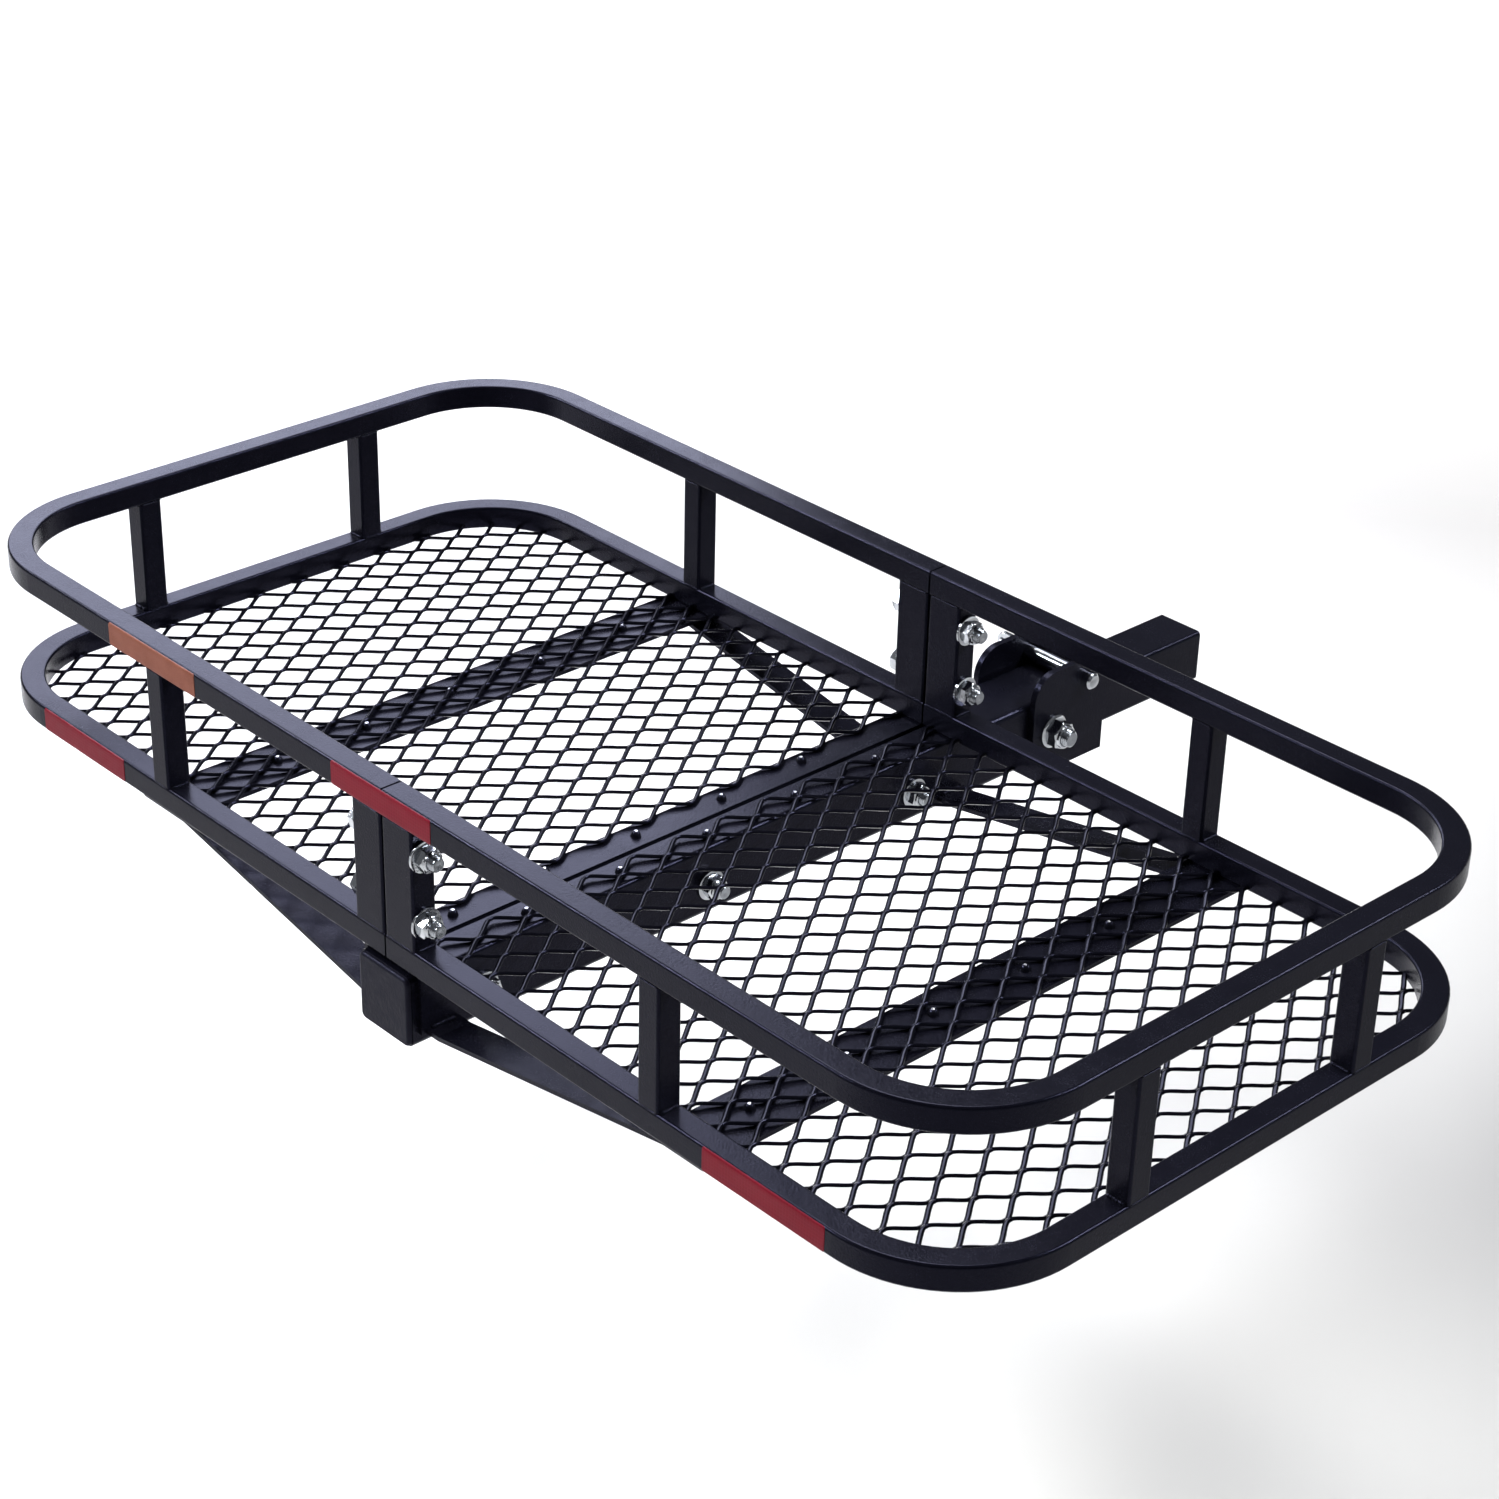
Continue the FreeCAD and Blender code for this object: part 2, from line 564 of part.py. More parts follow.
def beam_cap():
    """The plastic plug in the beam's rear end: a cup with a round-edged flange over the tube's end."""
    body = new_body("beam_end_cap")
    profile = new_sketch(body, "profile", "XZ_Plane")
    profile.setExpression("AttachmentOffset.Base.z", f"-({REAR_Y} + Sizes.cap_depth)")
    side = "Sizes.beam_size - 2 * Sizes.beam_wall"
    width = size("beam_size") - 2 * size("beam_wall")
    edge = size("beam_edge") - size("beam_wall")
    edge_expression = "Sizes.beam_edge - Sizes.beam_wall"
    rounded_rectangle(profile, "outer", side, side, edge_expression, (width, width, edge))
    pad = body.newObject("PartDesign::Pad", "pad")
    pad.Profile = profile
    pad.setExpression("Length", "Sizes.cap_depth")
    doc.recompute()
    cup = new_sketch(body, "cup_profile", "XZ_Plane")
    cup.setExpression("AttachmentOffset.Base.z", f"-({REAR_Y} + Sizes.cap_depth)")
    inner = width - 2 * size("cap_wall")
    rounded_rectangle(cup, "inner", side + " - 2 * Sizes.cap_wall", side + " - 2 * Sizes.cap_wall",
                      edge_expression, (inner, inner, edge))
    pocket = body.newObject("PartDesign::Pocket", "cup")
    pocket.Profile = cup
    pocket.Reversed = True
    pocket.setExpression("Length", "Sizes.cap_depth - Sizes.cap_wall")
    before = pad.Shape.Volume
    doc.recompute()
    if not pocket.Shape.Volume < before:
        raise RuntimeError("the cap's cup cut nothing")
    cover = new_sketch(body, "flange_profile", "XZ_Plane")
    cover.setExpression("AttachmentOffset.Base.z", f"-{REAR_Y}")
    cover_side = "Sizes.beam_size - 2 * Sizes.cap_margin"
    cover_width = size("beam_size") - 2 * size("cap_margin")
    rounded_rectangle(cover, "cover", cover_side, cover_side, "Sizes.beam_edge",
                      (cover_width, cover_width, size("beam_edge")))
    flange = body.newObject("PartDesign::Pad", "flange")
    flange.Profile = cover
    flange.setExpression("Length", "Sizes.cap_flange")
    doc.recompute()
    face_y = -size("basket_width") - size("pin_to_basket") - size("cap_flange")
    rim = [f"Edge{number}" for number, edge in enumerate(flange.Shape.Edges, start=1)
           if abs(edge.BoundBox.YMax - face_y) < 0.01]
    soft = body.newObject("PartDesign::Fillet", "soft_edge")
    soft.Base = (flange, rim)
    soft.setExpression("Radius", "Sizes.cap_round")


# ---------------------------------------------------------------- fasteners

def cylinder(name, radius, length, x, y, z):
    """A cylinder along +X that starts at x."""
    item = doc.addObject("Part::Cylinder", name)
    item.setExpression("Radius", radius)
    item.setExpression("Height", length)
    item.Placement.Rotation = FreeCAD.Rotation(Y_AXIS, 90)
    place(item, x, y, z)
    return item


def hexagon(name, circumradius, length, x, y, z):
    """A hexagonal prism along +X that starts at x."""
    item = doc.addObject("Part::Prism", name)
    item.Polygon = 6
    item.setExpression("Circumradius", circumradius)
    item.setExpression("Height", length)
    item.Placement.Rotation = FreeCAD.Rotation(Y_AXIS, 90)
    place(item, x, y, z)
    return item


def drilled(name, solid, radius, length, x, y, z):
    cut = doc.addObject("Part::Cut", name)
    cut.Base = solid
    cut.Tool = cylinder(name + "_bore", radius, length, x, y, z)
    return cut


def group(label, members):
    """Identical fasteners as separate solids of one node."""
    fuse = doc.addObject("Part::MultiFuse", label)
    fuse.Shapes = members
    keep(fuse, label)


def fastener_set(prefix, face_x, places):
    """Hex bolts with a washer and a nut, heads at -X, clamping between -face_x and face_x."""
    bolts, nuts, washers = [], [], []
    washer_x = face_x
    nut_x = f"{face_x} + Sizes.washer_thickness"
    tail_x = f"{nut_x} + Sizes.nut_height + Sizes.bolt_tail"
    for number, (y, z) in enumerate(places):
        name = f"{prefix}_{number}"
        head = hexagon(name + "_head", "Sizes.hex_circumradius", "Sizes.bolt_head",
                       f"-{face_x} - Sizes.bolt_head", y, z)
        shaft = cylinder(name + "_shaft", "Sizes.bolt_radius", f"{tail_x} + {face_x}",
                         f"-{face_x}", y, z)
        bolt = doc.addObject("Part::Fuse", name + "_bolt")
        bolt.Base, bolt.Tool = head, shaft
        bolts.append(bolt)
        nut = hexagon(name + "_hex", "Sizes.hex_circumradius", "Sizes.nut_height", nut_x, y, z)
        nuts.append(drilled(name + "_nut", nut, "Sizes.bolt_radius", "Sizes.nut_height", nut_x, y, z))
        disc = cylinder(name + "_disc", "Sizes.washer_radius", "Sizes.washer_thickness",
                        washer_x, y, z)
        washers.append(drilled(name + "_washer", disc, "Sizes.bolt_radius", "Sizes.washer_thickness",
                               washer_x, y, z))
    group(prefix + "_bolts", bolts)
    group(prefix + "_nuts", nuts)
    group(prefix + "_washers", washers)


def seam_fasteners():
    middle = f"{FLOOR} + Sizes.basket_height / 2"
    places = [(f"{BASKET_Y} + {row_sign} * {RAIL_Y}", f"{middle} + {sign} * Sizes.seam_bolt_rise")
              for row_sign in (-1, 1) for sign in (-1, 1)]
    fastener_set("seam", SEAM_X, places)


def beam_fasteners():
    places = [(f"{BASKET_Y} + {step} * Sizes.beam_bolt_pitch", "0") for step in (-1, 0, 1)]
    fastener_set("beam", LEG_X, places)


# ---------------------------------------------------------------- folding shank

def shank():
    """The tube that enters the receiver, drilled for the hitch pin at the origin."""
    body = new_body("shank_tube")
    profile = new_sketch(body, "profile", "XZ_Plane")
    profile.setExpression("AttachmentOffset.Base.z", "-Sizes.shank_end")
    tube_profile(profile, "shank_size", "shank_size", "shank_wall", "shank_edge")
    pad = body.newObject("PartDesign::Pad", "pad")
    pad.Profile = profile
    web_face = f"({PIVOT_Y} + Sizes.web_offset + Sizes.cheek_thickness)"
    pad.setExpression("Length", f"Sizes.shank_end - {web_face}")
    doc.recompute()
    circles = [(("0", "0", "Sizes.hitch_hole_radius"), (0, 0, size("hitch_hole_radius")))]
    holes(body, "pin_hole", "YZ_Plane", circles, 4 * size("shank_size"))


def cheek(side_name, side):
    """A side plate of the pivot bracket, with holes for the pivot bolt and the stop pin."""
    body = new_body(side_name + "_cheek_plate")
    profile = new_sketch(body, "profile", "YZ_Plane")
    pivot = size("pivot_to_basket") - size("pin_to_basket")
    rear = pivot - size("cheek_rear")
    front = pivot + size("web_offset") + size("cheek_thickness")
    top, low, bend = size("cheek_top"), -size("cheek_bottom"), size("cheek_round")
    start_x = size("beam_size") / 2 + size("cheek_gap")
    top_centre = FreeCAD.Vector(rear + bend, top - bend, 0)
    low_centre = FreeCAD.Vector(rear + bend, low + bend, 0)
    front_edge = profile.addGeometry(Part.LineSegment(FreeCAD.Vector(front, low, 0),
                                                      FreeCAD.Vector(front, top, 0)))
    top_edge = profile.addGeometry(Part.LineSegment(FreeCAD.Vector(front, top, 0),
                                                    FreeCAD.Vector(rear + bend, top, 0)))
    top_bend = profile.addGeometry(Part.ArcOfCircle(Part.Circle(top_centre, Z_AXIS, bend),
                                                    math.pi / 2, math.pi))
    rear_edge = profile.addGeometry(Part.LineSegment(FreeCAD.Vector(rear, top - bend, 0),
                                                     FreeCAD.Vector(rear, low + bend, 0)))
    low_bend = profile.addGeometry(Part.ArcOfCircle(Part.Circle(low_centre, Z_AXIS, bend),
                                                    math.pi, 3 * math.pi / 2))
    low_edge = profile.addGeometry(Part.LineSegment(FreeCAD.Vector(rear + bend, low, 0),
                                                    FreeCAD.Vector(front, low, 0)))
    profile.addConstraint(Sketcher.Constraint("Coincident", front_edge, 2, top_edge, 1))
    profile.addConstraint(Sketcher.Constraint("Tangent", top_edge, 2, top_bend, 1))
    profile.addConstraint(Sketcher.Constraint("Tangent", top_bend, 2, rear_edge, 1))
    profile.addConstraint(Sketcher.Constraint("Tangent", rear_edge, 2, low_bend, 1))
    profile.addConstraint(Sketcher.Constraint("Tangent", low_bend, 2, low_edge, 1))
    profile.addConstraint(Sketcher.Constraint("Coincident", low_edge, 2, front_edge, 1))
    profile.addConstraint(Sketcher.Constraint("Vertical", front_edge))
    profile.addConstraint(Sketcher.Constraint("Horizontal", top_edge))
    profile.addConstraint(Sketcher.Constraint("Vertical", rear_edge))
    profile.addConstraint(Sketcher.Constraint("Horizontal", low_edge))
    profile.addConstraint(Sketcher.Constraint("Equal", top_bend, low_bend))
    bind(profile, Sketcher.Constraint("Radius", top_bend, bend), "round", "Sizes.cheek_round")
    bind(profile, Sketcher.Constraint("DistanceX", rear_edge, 1, -1, 1, -rear), "rear",
         f"-({PIVOT_Y} - Sizes.cheek_rear)")
    bind(profile, Sketcher.Constraint("DistanceX", front_edge, 1, -1, 1, -front), "front",
         f"-({PIVOT_Y} + Sizes.web_offset + Sizes.cheek_thickness)")
    bind(profile, Sketcher.Constraint("DistanceY", -1, 1, top_edge, 1, top), "top", "Sizes.cheek_top")
    bind(profile, Sketcher.Constraint("DistanceY", low_edge, 1, -1, 1, -low), "low",
         "Sizes.cheek_bottom")
    start = CHEEK_X if side > 0 else f"-{CHEEK_X} - Sizes.cheek_thickness"
    profile.setExpression("AttachmentOffset.Base.z", start)
    pad = body.newObject("PartDesign::Pad", "pad")
    pad.Profile = profile
    pad.setExpression("Length", "Sizes.cheek_thickness")
    doc.recompute()
    stop_y = pivot + size("stop_offset")
    circles = [
        ((PIVOT_Y, "0", "Sizes.pivot_radius"), (pivot, 0, size("pivot_radius"))),
        ((f"{PIVOT_Y} + Sizes.stop_offset", "Sizes.stop_offset",
          "Sizes.stop_radius + Sizes.stop_clearance"),
         (stop_y, size("stop_offset"), size("stop_radius") + size("stop_clearance"))),
    ]
    holes(body, "pin_holes", "YZ_Plane", circles, 4 * start_x)


def bracket_web():
    """The plate that joins the two cheeks and carries the shank."""
    corner = (f"-{CHEEK_X}", f"{PIVOT_Y} + Sizes.web_offset", "-Sizes.cheek_bottom")
    keep(bar("bracket_web", f"2 * {CHEEK_X}", "Sizes.cheek_thickness",
             "Sizes.cheek_top + Sizes.cheek_bottom", corner), "bracket_web")


def pivot_fasteners():
    """The bolt that the beam turns on, and its flange nut on the outside of the right cheek."""
    outer = f"({CHEEK_X} + Sizes.cheek_thickness)"
    head = hexagon("pivot_hex", "Sizes.pivot_hex", "Sizes.pivot_head",
                   f"-{outer} - Sizes.pivot_head", PIVOT_Y, "0")
    tail = "Sizes.flange_thickness + Sizes.pivot_nut + Sizes.bolt_tail"
    shaft = cylinder("pivot_shaft", "Sizes.pivot_radius", f"2 * {outer} + {tail}", f"-{outer}",
                     PIVOT_Y, "0")
    bolt = doc.addObject("Part::Fuse", "pivot_bolt")
    bolt.Base, bolt.Tool = head, shaft
    keep(bolt, "pivot_bolt")
    flange = cylinder("nut_flange", "Sizes.pivot_flange", "Sizes.flange_thickness", outer,
                      PIVOT_Y, "0")
    nut_hex = hexagon("nut_hex", "Sizes.pivot_hex", "Sizes.pivot_nut",
                      f"{outer} + Sizes.flange_thickness", PIVOT_Y, "0")
    body = doc.addObject("Part::Fuse", "nut_body")
    body.Base, body.Tool = flange, nut_hex
    nut = drilled("pivot_nut", body, "Sizes.pivot_radius",
                  "Sizes.flange_thickness + Sizes.pivot_nut", outer, PIVOT_Y, "0")
    keep(nut, "pivot_nut")


def stop_pin():
    """The quick-release pin over the beam's nose, with a collar and a flat eye for its ring."""
    outer = f"({CHEEK_X} + Sizes.cheek_thickness)"
    y = f"{PIVOT_Y} + Sizes.stop_offset"
    z = "Sizes.stop_offset"
    collar_x = f"-{outer} - Sizes.collar_gap - Sizes.collar_thickness"
    shaft = cylinder("stop_shaft", "Sizes.stop_radius",
                     f"2 * {outer} + Sizes.collar_gap + Sizes.stop_tip",
                     f"-{outer} - Sizes.collar_gap", y, z)
    collar = cylinder("stop_collar", "Sizes.collar_radius", "Sizes.collar_thickness", collar_x, y, z)
    tab = bar("stop_tab", "Sizes.eye_length", "Sizes.eye_thickness", "2 * Sizes.stop_radius",
              (f"{collar_x} - Sizes.eye_length", f"{y} - Sizes.eye_thickness / 2",
               f"{z} - Sizes.stop_radius"))
    whole = doc.addObject("Part::MultiFuse", "stop_solid")
    whole.Shapes = [shaft, collar, tab]
    eye = doc.addObject("Part::Cylinder", "stop_eye")
    eye.setExpression("Radius", "Sizes.eye_radius")
    eye.setExpression("Height", "4 * Sizes.eye_thickness")
    eye.Placement.Rotation = FreeCAD.Rotation(X_AXIS, -90)
    place(eye, f"{collar_x} - Sizes.eye_length + Sizes.eye_inset", f"{y} - 2 * Sizes.eye_thickness", z)
    pin = doc.addObject("Part::Cut", "stop_pin")
    pin.Base, pin.Tool = whole, eye
    keep(pin, "stop_pin")


def pull_ring():
    """The wire ring that hangs through the pin's eye."""
    ring = doc.addObject("Part::Torus", "pull_ring")
    ring.setExpression("Radius1", "Sizes.ring_radius")
    ring.setExpression("Radius2", "Sizes.ring_wire")
    ring.Placement.Rotation = FreeCAD.Rotation(Y_AXIS, 90)
    outer = f"({CHEEK_X} + Sizes.cheek_thickness)"
    eye_x = (f"-{outer} - Sizes.collar_gap - Sizes.collar_thickness - Sizes.eye_length"
             " + Sizes.eye_inset")
    place(ring, eye_x, f"{PIVOT_Y} + Sizes.stop_offset", "Sizes.stop_offset - Sizes.ring_radius")
    keep(ring, "pull_ring")


# ---------------------------------------------------------------- tapes and label

def tape(label, centre_x, middle_z):
    """A strip of tape on the rear face of a rear rail."""
    corner = (f"{centre_x} - Sizes.tape_length / 2", f"{REAR_Y} - Sizes.tape_thickness",
              f"{middle_z} - Sizes.tape_height / 2")
    keep(bar(label, "Sizes.tape_length", "Sizes.tape_thickness", "Sizes.tape_height", corner), label)


# ---------------------------------------------------------------- the whole carrier

for side_label, side_sign in SIDES.items():
    half_frame(side_label, side_sign)
    floor_mesh(side_label, side_sign)
    cross_strip(side_label, side_sign)
    seam_angle(side_label, side_sign)
    for end_label in ("rear", "front"):
        truss_strap(end_label, side_label, side_sign)
main_beam()
beam_cap()
seam_fasteners()
beam_fasteners()
shank()
for side_label, side_sign in SIDES.items():
    cheek(side_label, side_sign)
bracket_web()
pivot_fasteners()
stop_pin()
pull_ring()
LOWER_RAIL_Z = f"{FLOOR} + Sizes.rail_size / 2"
UPPER_RAIL_Z = f"{FLOOR} + Sizes.basket_height - Sizes.rail_size / 2"
tape("left_reflector", "Sizes.left_tape_centre", LOWER_RAIL_Z)
tape("right_reflector", "Sizes.right_tape_centre", LOWER_RAIL_Z)
tape("centre_reflector", "0", UPPER_RAIL_Z)
tape("notice_label", "Sizes.label_centre", UPPER_RAIL_Z)

doc.recompute()
for item in doc.Objects:
    if "Invalid" in item.State or "Error" in item.State:
        raise RuntimeError(f"{item.Label} failed: {item.State}")
for item in PARTS:
    if item.Shape.isNull() or not item.Shape.isValid() or not item.Shape.Solids:
        raise RuntimeError(f"{item.Label} has no valid solid")

os.makedirs("parts", exist_ok=True)
for item in PARTS:
    item.Shape.exportStep(f"parts/{item.Label}.step")
print(f"{len(PARTS)} sub-parts written")
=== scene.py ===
import json
import math
import random

import bmesh
import bpy
from mathutils import Matrix, Vector


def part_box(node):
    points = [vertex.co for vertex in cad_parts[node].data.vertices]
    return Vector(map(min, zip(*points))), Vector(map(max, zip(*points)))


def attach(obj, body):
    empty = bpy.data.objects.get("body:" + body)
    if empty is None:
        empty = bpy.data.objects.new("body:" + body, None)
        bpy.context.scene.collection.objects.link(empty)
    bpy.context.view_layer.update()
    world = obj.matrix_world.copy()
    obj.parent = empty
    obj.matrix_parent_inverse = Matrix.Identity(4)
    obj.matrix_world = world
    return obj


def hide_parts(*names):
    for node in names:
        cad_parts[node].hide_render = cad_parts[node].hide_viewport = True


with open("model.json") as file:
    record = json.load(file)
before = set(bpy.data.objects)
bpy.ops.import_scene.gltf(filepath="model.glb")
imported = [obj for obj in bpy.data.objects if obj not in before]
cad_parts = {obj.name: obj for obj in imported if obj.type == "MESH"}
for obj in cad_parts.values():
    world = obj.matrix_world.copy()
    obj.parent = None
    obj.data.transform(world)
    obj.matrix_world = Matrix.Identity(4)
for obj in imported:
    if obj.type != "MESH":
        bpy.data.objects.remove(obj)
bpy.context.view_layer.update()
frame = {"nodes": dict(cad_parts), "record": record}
NODES = frame["nodes"]
MM = 0.001
SIDES = {"left": -1, "right": 1}

# ---------------------------------------------------------------- sizes read from the frame

RAIL_LOW, RAIL_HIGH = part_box("left_lower_rail")
TUBE = RAIL_HIGH.z - RAIL_LOW.z
REAR_Y, FRONT_Y = RAIL_LOW.y, RAIL_HIGH.y
END_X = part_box("right_lower_rail")[1].x
MIDDLE_Y = (REAR_Y + FRONT_Y) / 2
FLOOR_Z = RAIL_LOW.z

# two radii of the rails that their boxes don't show: the basket's corners and the tube's edges
CORNER_RADIUS = 114.3 * MM
RAIL_EDGE = 2.4 * MM

# height of the stage's floor in metres, some way below the basket
STAGE_Z = -0.4


# ---------------------------------------------------------------- node materials

class Shader:
    """A principled material and short ways to add the nodes that feed it."""

    def __init__(self, name, **values):
        self.material = bpy.data.materials.new(name)
        self.material.use_nodes = True
        self.tree = self.material.node_tree
        self.tree.nodes.clear()
        output = self.tree.nodes.new("ShaderNodeOutputMaterial")
        self.bsdf = self.tree.nodes.new("ShaderNodeBsdfPrincipled")
        self.tree.links.new(self.bsdf.outputs["BSDF"], output.inputs["Surface"])
        for socket, value in values.items():
            self.bsdf.inputs[socket.replace("_", " ")].default_value = value
        self.place = self.tree.nodes.new("ShaderNodeTexCoord").outputs["Object"]

    def scaled(self, scale):
        """The object's own coordinates, stretched along each axis."""
        node = self.tree.nodes.new("ShaderNodeMapping")
        node.inputs["Scale"].default_value = scale
        self.tree.links.new(self.place, node.inputs["Vector"])
        return node.outputs["Vector"]

    def noise(self, scale, detail=3.0, roughness=0.55, vector=None):
        """Cloudy noise; the scale is in features per metre."""
        node = self.tree.nodes.new("ShaderNodeTexNoise")
        node.inputs["Scale"].default_value = scale
        node.inputs["Detail"].default_value = detail
        node.inputs["Roughness"].default_value = roughness
        self.tree.links.new(vector or self.place, node.inputs["Vector"])
        return node.outputs["Fac"]

    def cells(self, scale, feature="F1", vector=None, randomness=1.0):
        """Distance to the nearest cell centre, or to the cells' edges."""
        node = self.tree.nodes.new("ShaderNodeTexVoronoi")
        node.feature = feature
        node.inputs["Scale"].default_value = scale
        node.inputs["Randomness"].default_value = randomness
        self.tree.links.new(vector or self.place, node.inputs["Vector"])
        return node.outputs["Distance"]

    def spread(self, value, low, high, out_low=0.0, out_high=1.0):
        """A value's range from low to high, mapped to another range and held at its ends."""
        node = self.tree.nodes.new("ShaderNodeMapRange")
        for socket, number in (("From Min", low), ("From Max", high), ("To Min", out_low),
                               ("To Max", out_high)):
            node.inputs[socket].default_value = number
        self.tree.links.new(value, node.inputs["Value"])
        return node.outputs["Result"]

    def distance(self, point):
        """Distance from a point in metres."""
        node = self.tree.nodes.new("ShaderNodeVectorMath")
        node.operation = "DISTANCE"
        node.inputs[1].default_value = point
        self.tree.links.new(self.place, node.inputs[0])
        return node.outputs["Value"]

    def shifted(self, value, shift):
        """The sum of two values."""
        node = self.tree.nodes.new("ShaderNodeMath")
        node.operation = "ADD"
        self.tree.links.new(value, node.inputs[0])
        self.tree.links.new(shift, node.inputs[1])
        return node.outputs["Value"]

    def blend(self, factor, first, second):
        """A colour between two, each a tuple or another node's output."""
        node = self.tree.nodes.new("ShaderNodeMix")
        node.data_type = "RGBA"
        self.tree.links.new(factor, node.inputs["Factor"])
        for socket, value in ((node.inputs[6], first), (node.inputs[7], second)):
            if isinstance(value, tuple):
                socket.default_value = (*value, 1.0)
            else:
                self.tree.links.new(value, socket)
        return node.outputs[2]

    def bump(self, height, distance, strength=1.0, below=None):
        """A normal from a height, laid over another normal if one is given."""
        node = self.tree.nodes.new("ShaderNodeBump")
        node.inputs["Distance"].default_value = distance
        node.inputs["Strength"].default_value = strength
        self.tree.links.new(height, node.inputs["Height"])
        if below is not None:
            self.tree.links.new(below, node.inputs["Normal"])
        return node.outputs["Normal"]

    def feed(self, socket, output):
        """Link a node's output to one of the shader's own sockets."""
        self.tree.links.new(output, self.bsdf.inputs[socket])


def powder_coat(name, dark, light, smooth, rough, grain):
    """Satin blue-black powder coat: orange peel, a faint cloudiness and fine specks.

    smooth and rough are the ends of its roughness, and grain scales the orange peel.
    """
    s = Shader(name, IOR=1.5, Specular_IOR_Level=0.11, Specular_Tint=(0.52, 0.53, 1.0, 1.0))
    cloud = s.spread(s.noise(9.0, 5.0), 0.35, 0.65)
    speck = s.spread(s.noise(1400.0, 2.0), 0.45, 0.75)
    speck_colour = tuple(c * 1.7 for c in light)
    s.feed("Base Color", s.blend(speck, s.blend(cloud, dark, light), speck_colour))
    haze = s.spread(s.noise(42.0, 6.0, 0.65), 0.3, 0.7, smooth, rough)
    sparkle = s.spread(s.noise(1100.0, 2.0), 0.35, 0.75, -0.05, 0.07)
    s.feed("Roughness", s.shifted(haze, sparkle))
    peel = s.bump(s.noise(520.0, 2.0, 0.5), 0.16 * MM * grain)
    fine = s.bump(s.noise(1900.0, 2.0, 0.6), 0.05 * MM * grain, 1.0, peel)
    s.feed("Normal", fine)
    return s.material


def zinc(name, tint, smooth, rough):
    """Bright zinc plating: small spangle, fine scratches and a dull bloom."""
    s = Shader(name, Metallic=1.0)
    spangle = s.spread(s.cells(420.0), 0.0, 0.9)
    bloom = s.spread(s.noise(160.0, 5.0, 0.6), 0.35, 0.8)
    pale = tuple(c * 1.06 for c in tint)
    dull = tuple(c * 0.82 for c in tint)
    s.feed("Base Color", s.blend(bloom, s.blend(spangle, tint, pale), dull))
    s.feed("Roughness", s.spread(s.noise(300.0, 4.0), 0.3, 0.7, smooth, rough))
    scratches = s.noise(900.0, 3.0, 0.6, s.scaled((0.15, 1.0, 1.0)))
    s.feed("Normal", s.bump(scratches, 0.012 * MM))
    return s.material


def reflector_film(name):
    """Dark red prismatic film: a fine honeycomb of raised cells with lighter webs."""
    s = Shader(name, Coat_Weight=0.03, Coat_Roughness=0.2, IOR=1.49, Specular_IOR_Level=0.08)
    comb = s.cells(340.0, "DISTANCE_TO_EDGE", s.scaled((1.0, 0.0, 1.0)), 0.12)
    web = s.spread(comb, 0.02, 0.12)
    shade = s.spread(s.noise(22.0, 4.0), 0.3, 0.7)
    field = s.blend(shade, (0.140, 0.003, 0.011), (0.175, 0.004, 0.014))
    s.feed("Base Color", s.blend(web, (0.195, 0.007, 0.020), field))
    s.feed("Roughness", s.spread(s.noise(120.0, 4.0), 0.3, 0.7, 0.30, 0.42))
    s.feed("Normal", s.bump(comb, 0.12 * MM, 0.6))
    return s.material


def printed_film(name):
    """Plain rust-orange label film with an uneven, fibrous tone."""
    s = Shader(name, Coat_Weight=0.05, Coat_Roughness=0.3, IOR=1.46, Specular_IOR_Level=0.15)
    blotch = s.spread(s.noise(60.0, 5.0), 0.35, 0.7)
    fibre = s.spread(s.noise(900.0, 3.0), 0.4, 0.7)
    ink = s.blend(blotch, (0.205, 0.060, 0.034), (0.165, 0.046, 0.027))
    s.feed("Base Color", s.blend(fibre, ink, (0.235, 0.078, 0.045)))
    s.feed("Roughness", s.spread(blotch, 0.0, 1.0, 0.42, 0.55))
    s.feed("Normal", s.bump(s.noise(500.0, 3.0), 0.05 * MM))
    return s.material


def moulded_plastic(name):
    """Black polyethylene with a shallow moulded grain."""
    s = Shader(name, IOR=1.5, Specular_IOR_Level=0.07, Specular_Tint=(0.55, 0.56, 1.0, 1.0))
    tone = s.spread(s.noise(30.0, 4.0), 0.3, 0.7)
    s.feed("Base Color", s.blend(tone, (0.0070, 0.0070, 0.0115), (0.0105, 0.0105, 0.0165)))
    s.feed("Roughness", s.spread(s.noise(80.0, 4.0), 0.3, 0.7, 0.34, 0.46))
    grain = s.bump(s.cells(750.0), 0.12 * MM)
    s.feed("Normal", s.bump(s.noise(200.0, 2.0), 0.25 * MM, 1.0, grain))
    return s.material


def studio_floor(name):
    """A plain pale floor: painted shade in its colour under the shank's side, and a painted glow, its
    emission, that makes it brighter into the distance.
    """
    s = Shader(name, Roughness=0.75, Emission_Color=(1.0, 1.0, 1.0, 1.0))
    # painted glow: the floor's emission is faint near the basket and strong far off, so it brightens
    # the stage without a lamp
    far = s.distance((1.5, -1.5, STAGE_Z))
    s.feed("Emission Strength", s.spread(far, 3.4, 4.7, 0.12, 0.95))
    tone = s.spread(s.noise(1.5, 3.0), 0.3, 0.7)
    pale = s.blend(tone, (0.84, 0.82, 0.77), (0.87, 0.85, 0.80))
    # painted shade: the floor's colour darkens to grey round a point on the shank's side, a shadow put
    # in the colour, not cast by any lamp
    shade = s.spread(s.distance((0.75, 0.35, STAGE_Z)), 0.3, 1.2)
    s.feed("Base Color", s.blend(shade, (0.37, 0.365, 0.35), pale))
    return s.material


